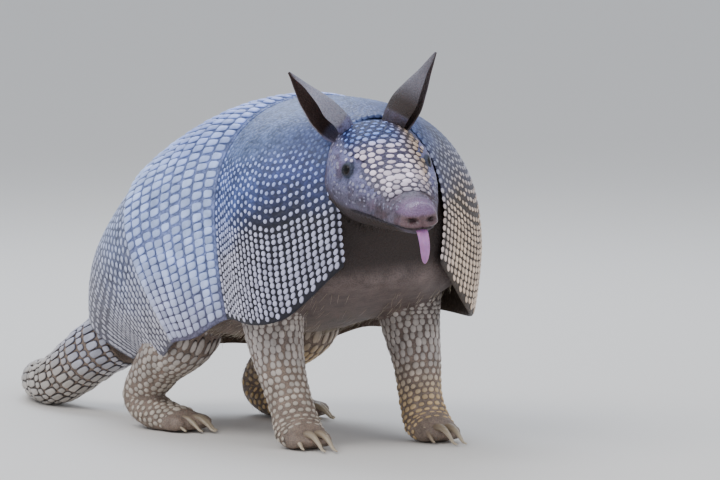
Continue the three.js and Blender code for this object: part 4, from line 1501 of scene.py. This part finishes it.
def rim_scutes_on():
    """Small scutes that face forward round the front margin of the shoulder shield."""
    v = row_across(0.0, 4.0)
    count = len(v)
    _, around = shell_metric(np.full(count, 0.5), v)
    shape = ROUND_SCUTE[0]
    size = rng.normal(1, 0.06, (count, 1))
    points = shell_point(0.95 - 0.85 * shape[:, 2] + 0 * v[:, None],
                         v[:, None] + shape[:, 1] * size * (3.5 / around)[:, None],
                         -1.40 - shape[:, 0] * size * 2.0)
    joined_copies("rim_scutes", ROUND_SCUTE, points, shell_map(0, 0.5 + 0.48 * v), rng.random(count),
                  shield_scutes, "shell_plate")


rim_scutes_on()
shield_scutes_on("scapular_scutes", 1.0, SHOULDER - 0.8, 3.9, 3.9, (0.68, 0.90), shield_scutes)
shield_scutes_on("pelvic_scutes", BANDS_END + 1.0, BACK - 0.8, 4.8, 4.9, (0.84, 0.90), rump_scutes)

# %% [markdown]
# Each band carries one row of long blocks, a little wider at the rear. They lie on the slope of the
# band, so their rear ends stand proud of the front of the next band, as on the real animal.

# %% A row of blocks on each band
BAND_MIDDLE = 6


def band_blocks():
    shape = BLOCK_SCUTE[0]
    points, roots = [], []
    for start in BAND_STARTS:
        v = row_across(start + BAND_MIDDLE, 4.9)
        count = len(v)
        v += rng.normal(0, 0.0012, count)
        _, around = shell_metric(np.full(count, start + BAND_MIDDLE), v)
        width = 4.45 * rng.normal(1, 0.04, count)
        u = np.clip(0.56 + shape[None, :, 0] * 0.82 * rng.normal(1, 0.03, (count, 1)), 0.12, 0.985)
        points.append(shell_point(start + GAP / 2 + (BAND_LENGTH - GAP) * u,
                                  v[:, None] + shape[:, 1] * (width / around)[:, None],
                                  raised(u) + SEAT + 1.2 * shape[:, 2]))
        roots.append(shell_map(start + BAND_MIDDLE, 0.5 + 0.48 * v))
    gathered("band_blocks", BLOCK_SCUTE, points, roots, band_scutes, "band_plate")


band_blocks()

# %% [markdown]
# The scutes of the head shield are the largest beside the size of their plate. They are small ticks at
# the crown, close and irregular on the forehead, and they sink into the skin on the muzzle.

# %% Scutes of the head
def head_scutes():
    places = []
    rows = 19
    for row in range(rows):
        u = (row + 0.4) / rows
        x = SHIELD_FROM + (SHIELD_TO - SHIELD_FROM) * u
        span = float(shield_angle(u, 1.0))
        arc = line_length(head_local(x, np.linspace(-span, span, 41)))
        count = max(int(round(arc / (3.9 + 0.6 * math.sin(math.pi * u)))), 3)
        places.append(np.stack(np.broadcast_arrays(
            x, spaced(count, brick(row)) * span * 0.97, 2 * span / count), 1))
    x, angle, step = np.concatenate(places).T
    clear = open_slit(head_local(x, angle))[0] > 2.05
    x, angle, step = x[clear], angle[clear], step[clear]
    x = x + rng.normal(0, 0.35, len(x))
    angle = angle + rng.normal(0, 0.06, len(x)) * step
    middle = smooth_step(6, 26, x) * (0.72 + 0.28 * smooth_step(38, 52, x))
    inner = 1 - 0.35 * smooth_step(0.55, 1.0, np.abs(angle) / shield_angle(along_shield(x), 1.0))
    size = (0.50 + 0.46 * middle) * inner * rng.normal(1, 0.10, len(x))
    dx, dy = turned(ROUND_SCUTE, rng.normal(0, 0.4, len(x)))
    height = 0.30 + 0.35 * middle
    points = on_head(head_local(
        x[:, None] + dx * (4.5 * size * rng.normal(0.98, 0.1, len(x)))[:, None],
        angle[:, None] + dy * (step * size)[:, None] * 1.02,
        -0.75 - 0.3 * (1 - inner)[:, None] / 0.35
        + ROUND_SCUTE[0][:, 2] * (0.25 + 0.72 * height[:, None])))
    edge = np.repeat(margin_share(points[:, 0]), points.shape[1])
    joined_copies("head_scutes", ROUND_SCUTE, points, head_map(x, 0.5 + 0.3 * angle),
                  rng.random(len(x)), head_scutes_finish, "head_plate", edge=edge)


head_scutes()

# %% [markdown]
# Round the head shield the bare skin carries scattered flat scales, dense under the eye and sparse on
# the jaw. They are laid on the skin itself: the nearest point gives the place and the slope.

# %% Scales of the cheeks
face_scales_finish = scute_material(
    "face_scales", ((0.27, 0.26, 0.37),) * 3, ((0.14, 0.135, 0.20),) * 3, SHIELD_LEVELS, 0.5)


def rooted(wanted, lie):
    """The skin's nearest point to each wanted one, its normal, and lie made flat on it."""
    found = [skin_tree.find_nearest(Vector(p)) for p in placed(wanted)]
    normal = np.array([f[1][:] for f in found])
    flat = unit(lie - normal * (lie * normal).sum(1, keepdims=True))
    return drawn([f[0][:] for f in found]), normal, flat


def laid_scales(name, wanted, lie, size, height, tone, roots, finish):
    """Flat scales on the skin nearest to each wanted point, their length along lie."""
    root, normal, flat = rooted(wanted, lie)
    side = np.cross(normal, flat)
    x, y = turned(ROUND_SCUTE, rng.normal(0, 0.5, len(root)))
    lift = ROUND_SCUTE[0][:, 2][None, :, None] * height[:, None, None] - 0.22
    points = (root[:, None, :] + flat[:, None, :] * (x * size[:, None])[..., None]
              + side[:, None, :] * (y * 0.85 * size[:, None])[..., None] + normal[:, None, :] * lift)
    joined_copies(name, ROUND_SCUTE, points, roots, tone, finish, "skin")


def cheek_scales():
    x, angle = (a.ravel() for a in np.meshgrid(np.arange(-2, 82, 3.1), np.arange(0.02, 2.2, 0.135)))
    x = x + rng.normal(0, 0.6, len(x))
    angle = angle + rng.normal(0, 0.03, len(x))
    edge = shield_angle(np.clip(along_shield(x), 0, 1), 1.0) * (x < SHIELD_TO + 0.5)
    local = head_local(x, angle)
    slit, _, _ = open_slit(local)
    keep = (angle > edge + 0.06) & (slit > 1.9)
    keep &= rng.random(len(x)) < 0.92 - 0.5 * smooth_step(1.2, 2.0, angle)
    keep &= angle < 1.80 - 0.40 * smooth_step(40, 66, x)
    keep &= rng.random(len(x)) < 1 - 0.65 * smooth_step(52, 70, x)
    near = 1 - smooth_step(0.05, 0.5, angle - edge)
    near = np.where(x > SHIELD_TO + 0.5, 0.8 * (1 - smooth_step(71, 80, x)), near)
    near = np.tile(near[keep], 2)
    x, angle = np.tile(x[keep], 2), np.concatenate([angle[keep], -angle[keep]])
    lie = np.tile(HEAD_TURN @ [1, 0, -0.2], (len(x), 1))
    fade = 1 - 0.25 * smooth_step(40, 76, x)
    size = (rng.uniform(1.2, 2.0, len(x)) + 1.3 * near) * fade
    tone = rng.uniform(0, 0.35, len(x)) + 0.65 * near
    tone -= (1 - near) * smooth_step(1.2, 1.9, np.abs(angle)) + 0.9 * smooth_step(52, 72, x)
    laid_scales("cheek_scales", on_head(head_local(x, angle)), lie, size, 0.34 + 0.16 * near, tone,
                head_map(x, 0.5 + 0.15 * angle), face_scales_finish)


cheek_scales()

# %% [markdown]
# Each ring of the tail has a short row of small scutes and a long row of large ones, which overhang
# the next ring. Past the last ring the tail is clad in small scales. Flat scales also guard the front
# of each leg down to the toes.

# %% Scutes of the tail and the legs
def tail_rows():
    """Rows on the tail: distance, length, front lift, rear lift."""
    rows = []
    for ring in range(TAIL_RINGS):
        start = ring * RING_LENGTH
        rows += [(start + 2.9, 4.4, -0.8, -0.5), (start + 9.8, 8.8, -0.6, -0.05)]
    reach = TAIL_RINGS * RING_LENGTH + 2.5
    while reach < TAIL_LENGTH - 6:
        rows.append((reach, 4.6, -0.35, -0.1))
        reach += 4.6
    return rows


def tail_scutes_on():
    shape = BLOCK_SCUTE[0]
    points, roots = [], []
    for row, (middle, length, front, rear) in enumerate(tail_rows()):
        radius = float(TAIL_RADIUS(middle))
        count = max(int(round(2 * math.pi * radius / (5.0 if length > 6 else 4.2))), 5)
        angle = (np.arange(count) + 0.5 * (row % 2)) * 2 * math.pi / count
        lift = front + (rear - front) * (shape[:, 0] + 0.5) - 0.9 + 0.9 * shape[:, 2]
        size = rng.normal(0.95, 0.03, (count, 1))
        points.append(tail_point(middle + shape[None, :, 0] * length * size,
                                 angle[:, None] + shape[:, 1] * 2 * math.pi / count * 0.92, lift))
        turn = (angle + math.pi) % (2 * math.pi) - math.pi
        roots.append(on_map(0.02 + 0.96 * middle / TAIL_LENGTH, 0.5 + turn * 0.15))
    gathered("tail_scutes", BLOCK_SCUTE, points, roots, tail_scutes, "tail_plate")


def leg_scales_on():
    shape = ROUND_SCUTE[0]
    points, roots = [], []
    for number, (_, leg, side) in enumerate(LEGS):
        stations = leg_line(leg, side)(np.linspace(0, 1, 101))
        reach = np.concatenate([[0], np.cumsum(np.linalg.norm(np.diff(stations, axis=0), axis=1))])
        rows = int((reach[-1] * 0.80) / 3.7)
        for row in range(rows):
            down = reach[-1] * (0.16 + 0.80 * row / rows)
            t = float(np.interp(down, reach, np.linspace(0, 1, 101)))
            arc = line_length(limb_point(leg, side, t, math.pi + np.linspace(-2.1, 2.1, 31)))
            count = max(int(round(arc / 4.2)), 4)
            angle = 2.1 * spaced(count, brick(row))
            angle += rng.normal(0, 0.03, count)
            size = rng.normal(0.9, 0.07, (count, 1))
            row_points = limb_point(leg, side, t + shape[None, :, 0] * size * 4.3 / reach[-1],
                                    math.pi + angle[:, None] + shape[:, 1] * 4.2 / count * size,
                                    -0.95 + shape[:, 2] * 0.9)
            row_points[..., 2] = np.maximum(row_points[..., 2], 0.2)
            points.append(row_points)
            roots.append(leg_map(number, t, 0.5 + 0.2 * angle))
    gathered("leg_scales", ROUND_SCUTE, points, roots, leg_scales, "skin")


tail_scutes_on()
leg_scales_on()

# %% [markdown]
# ## Eyes, tongue and claws
# The eye is a wet ball with a slight bulge in front, set so deep that the lids cover all but a slit.
# The tongue is long and narrow, rolled over the lip, with a furrow down its middle. Claws are bent
# cones of horn, flat beneath, and much longer on the middle toes of the fore feet.

# %% Eyes
def eyeball(name, side):
    bm, corners = ball(40, 28)
    facing = corners @ EYE_OUT
    bulge = 1 + 0.05 * smooth_step(0.6, 0.95, facing)
    points = (EYE_AT + corners * EYE_RADIUS * bulge[:, None]) * [1, side, 1]
    move_to(bm, placed(on_head(points)))
    bmesh.ops.recalc_face_normals(bm, faces=bm.faces)
    made = new_piece(f"eyeball_{name}", bm, eye_finish, [f"eye_{name}"])
    mark_points(made.data, "pupil", smooth_step(0.84, 0.88, facing))


for name, side in SIDES:
    eyeball(name, side)
print("two eyes of", EYE_RADIUS * 2, "mm")

# %% Tongue
LIP, TONGUE_TIP = [87.6, 0, -17.8], [90, 0, -33]
tongue_line = spline([[66, 0, -16.2], [80, 0, -16.6], LIP, [91, 0, -24.2], TONGUE_TIP])


def tongue_section(t, angle):
    centre = tongue_line(t)
    run = unit(tongue_line(np.minimum(t + 0.01, 1)) - tongue_line(np.maximum(t - 0.01, 0)))
    narrow = np.sqrt(np.maximum(1 - (2 * np.maximum(t - 0.5, 0)) ** 4 * 0.97, 0.0))
    wide = 3.2 * (1 - 0.25 * t) * narrow * np.sin(angle)
    furrow = 0.35 * hump(np.sin(angle), 0, 0.25) * (np.cos(angle) > 0)
    thick = (1.0 - furrow) * np.cos(angle) * (0.35 + 0.65 * narrow)
    return on_head(np.stack([centre[:, 0] - run[:, 2] * thick, wide,
                             centre[:, 2] + run[:, 0] * thick], 1))


new_piece("tongue_out", round_form(48, 28, tongue_section), tongue_finish, ["tongue"])
print("the tongue hangs", round(LIP[2] - TONGUE_TIP[2], 1), "mm over the lip")

# %% Claws
def claw_form(leg, side, offset, length):
    """A claw, and how far along it each of its corners is."""
    root, level, left, back = toe_root(leg, side, offset)
    reach, back = length + 4.0, 4 + back

    def section(t, angle):
        radius = 2.9 + (0.45 - 2.9) * t ** 1.3
        bow = reach * 0.16 * np.sin(math.pi * np.minimum(t * 1.15, 1)) - (root[2] - 1.4) * t
        rise = np.cos(angle) * radius * np.where(np.cos(angle) < 0, 0.7, 1.0)
        points = (root + level * (reach * t - back)[:, None]
                  + left * (np.sin(angle) * radius * 0.92)[:, None])
        points[:, 2] = np.maximum(points[:, 2] + bow + rise, 0.1)
        return points

    form = round_form(22, 16, section)
    return form, ((drawn(corners_of(form.verts)) - root) @ level + back) / reach


for name, leg, side in LEGS:
    forms, shares = zip(*(claw_form(leg, side, *claw) for claw in leg["claws"]))
    nodes = [f"{name}_claw_{i + 1}" for i in range(len(leg["claws"]))]
    made = new_piece(f"{name}_claws", added(*forms), claw_finish, nodes)
    mark_points(made.data, "along", np.concatenate(shares))
print("claws on four feet")

# %% [markdown]
# ## Hairs
# An armadillo is nearly bare, but coarse pale hairs stand in rows on its belly and legs, and short
# dark ones on its cheeks, throat and the roots of the ears. Each hair is a bent three-sided spine. It
# is rooted on the skin itself, found from the nearest point, and lies back along the body.

# %% One hair, and how hairs are laid
def hair_template():
    bm = bmesh.new()
    bmesh.ops.create_circle(bm, cap_ends=True, segments=3, radius=0.5)
    face_up(bm)
    bmesh.ops.inset_individual(bm, faces=bm.faces[:], thickness=0.06, depth=0.5)
    bmesh.ops.poke(bm, faces=[top_face(bm)], offset=0.5)
    return template(bm)


HAIR = hair_template()


def laid_hairs(name, wanted, lie, length, thickness, rise, roots, finish):
    """Hairs rooted by the nearest skin to each wanted point, lying along lie and lifted by rise."""
    root, normal, flat = rooted(wanted, lie)
    flat = unit(flat + normal * rise[:, None] + rng.normal(0, 0.16, flat.shape))
    side = unit(np.cross(flat, normal))
    other = np.cross(side, flat)
    x, y, z = HAIR[0].T
    droop = (z ** 2)[None, :, None] * (normal * (-0.28 * length * rise)[:, None])[:, None, :]
    points = (root[:, None, :] + flat[:, None, :] * (z[None, :] * length[:, None])[..., None]
              + (side[:, None, :] * x[None, :, None] + other[:, None, :] * y[None, :, None])
              * thickness + droop - normal[:, None, :] * 0.15)
    points[..., 2] = np.maximum(points[..., 2], 0.2)
    joined_copies(name, HAIR, points, roots, rng.random(len(root)), finish, "skin",
                  along=np.tile(z, len(root)))


print("a hair has", len(HAIR[1]), "faces")

# %% Hairs of the belly, the legs and the face
def belly_hairs():
    s = np.repeat(np.arange(18, 268, 7.0), 34)
    angle = math.pi + rng.uniform(-1.25, 1.25, len(s))
    s = s + rng.normal(0, 0.8, len(s))
    level, _, up, _ = hoop_axes(s)
    laid_hairs("belly_hairs", body_point(s, angle, TRUNK_INSET + COAT), -level - 0.35 * up,
               rng.uniform(7, 12, len(s)), 0.24, rng.uniform(0.15, 0.35, len(s)),
               shell_map(s, 0.02 + 0.15 * angle), pale_hair)


def leg_hairs():
    wanted, lie, roots = [], [], []
    for number, (_, leg, side) in enumerate(LEGS):
        t = rng.uniform(0.18, 0.82, 170)
        angle = rng.uniform(-1.3, 1.3, 170)
        line = leg_line(leg, side)
        wanted.append(limb_point(leg, side, t, angle))
        lie.append(line(np.minimum(t + 0.02, 1)) - line(t) - 0.004 * leg_axes(leg)[0])
        roots.append(leg_map(number, t, 0.02 + 0.15 * angle))
    wanted, lie, roots = (np.concatenate(a) for a in (wanted, lie, roots))
    laid_hairs("leg_hairs", wanted, lie, rng.uniform(3, 5, len(wanted)), 0.18,
               rng.uniform(0.15, 0.3, len(wanted)), roots, pale_hair)


def face_hairs():
    count = 1500
    x = rng.uniform(-4, 74, count)
    side = np.where(rng.random(count) < 0.5, -1, 1)
    angle = side * rng.uniform(1.55, 3.14, count)
    keep = rng.random(count) < 0.35 + 0.65 * smooth_step(1.9, 2.7, np.abs(angle))
    x, angle = x[keep], angle[keep]
    local = head_local(x, angle)
    slit, _, _ = open_slit(local)
    keep = slit > 2.3
    x, angle, local = x[keep], angle[keep], local[keep]
    throat = smooth_step(2.3, 2.9, np.abs(angle)) * (1 - smooth_step(20, 60, x))
    lie = np.tile(HEAD_TURN @ [-1, 0, -0.35], (len(x), 1))
    laid_hairs("face_hairs", on_head(local), lie, rng.uniform(1.4, 2.4, len(x)) + 4.0 * throat, 0.13,
               rng.uniform(0.2, 0.5, len(x)), head_map(x, 0.5 + 0.15 * angle), dark_hair)


def ear_hairs():
    count = 260
    u, v = rng.uniform(0.08, 0.25, count), rng.uniform(0.02, 0.98, count)
    side = np.where(np.arange(count) % 2 == 0, 1, -1)
    wanted = np.array([ear_point(s, a, b, 1.0) for s, a, b in zip(side, u, v)])
    lie = np.array([HEAD_TURN @ (ear_frame(s)[1] * [1, s, 1]) for s in side])
    roots = on_map(0.25 + 0.5 * (side > 0) + 0.4 * (v - 0.5), 0.1 + 0.8 * u)
    laid_hairs("ear_hairs", wanted, lie, rng.uniform(1.2, 2.2, count), 0.14,
               rng.uniform(0.1, 0.3, count), roots, dark_hair)


belly_hairs()
leg_hairs()
face_hairs()
ear_hairs()

# %% [markdown]
# ## Floor and light
# A plain pale floor runs on behind the animal. One large soft lamp stands high on the near side, a
# weaker one fills from the other side, and a cool one from behind draws the edge of the shell.

# %% Floor
FLOOR_REACH = 12
floor_bm = bmesh.new()
bmesh.ops.create_grid(floor_bm, x_segments=2, y_segments=2, size=FLOOR_REACH)
floor_mesh = bpy.data.meshes.new("floor")
floor_bm.to_mesh(floor_mesh)
floor_bm.free()
floor = in_scene("floor", floor_mesh)
floor_finish, _, _ = blank_material("floor", Base_Color=(0.72, 0.69, 0.65, 1), Roughness=0.8)
floor_mesh.materials.append(floor_finish)
print("the floor is", 2 * FLOOR_REACH, "m wide")

# %% Lights
def area_light(name, place, size, power, color):
    data = bpy.data.lights.new(name, "AREA")
    data.shape, data.size, data.energy, data.color = "DISK", size, power, color
    made = in_scene(name, data)
    made.location = place
    made.rotation_euler = (aim - place).to_track_quat("-Z", "Y").to_euler()


area_light("key", aim + toward * 1.0 - across * 1.1 + upward * 1.6, 1.4, 25, (1.0, 0.98, 0.96))
area_light("fill", aim + toward * 1.2 + across * 1.3 + upward * 0.5, 1.2, 7, (1.0, 0.95, 0.88))
area_light("back", aim - toward * 1.0 - across * 0.3 + upward * 1.3, 1.0, 16, (0.80, 0.88, 1.0))
world = bpy.data.worlds.new("studio")
world.use_nodes = True
world.node_tree.nodes["Background"].inputs["Color"].default_value = (0.84, 0.90, 1.0, 1)
world.node_tree.nodes["Background"].inputs["Strength"].default_value = 0.9
bpy.context.scene.world = world
print("three soft lamps and a pale sky")
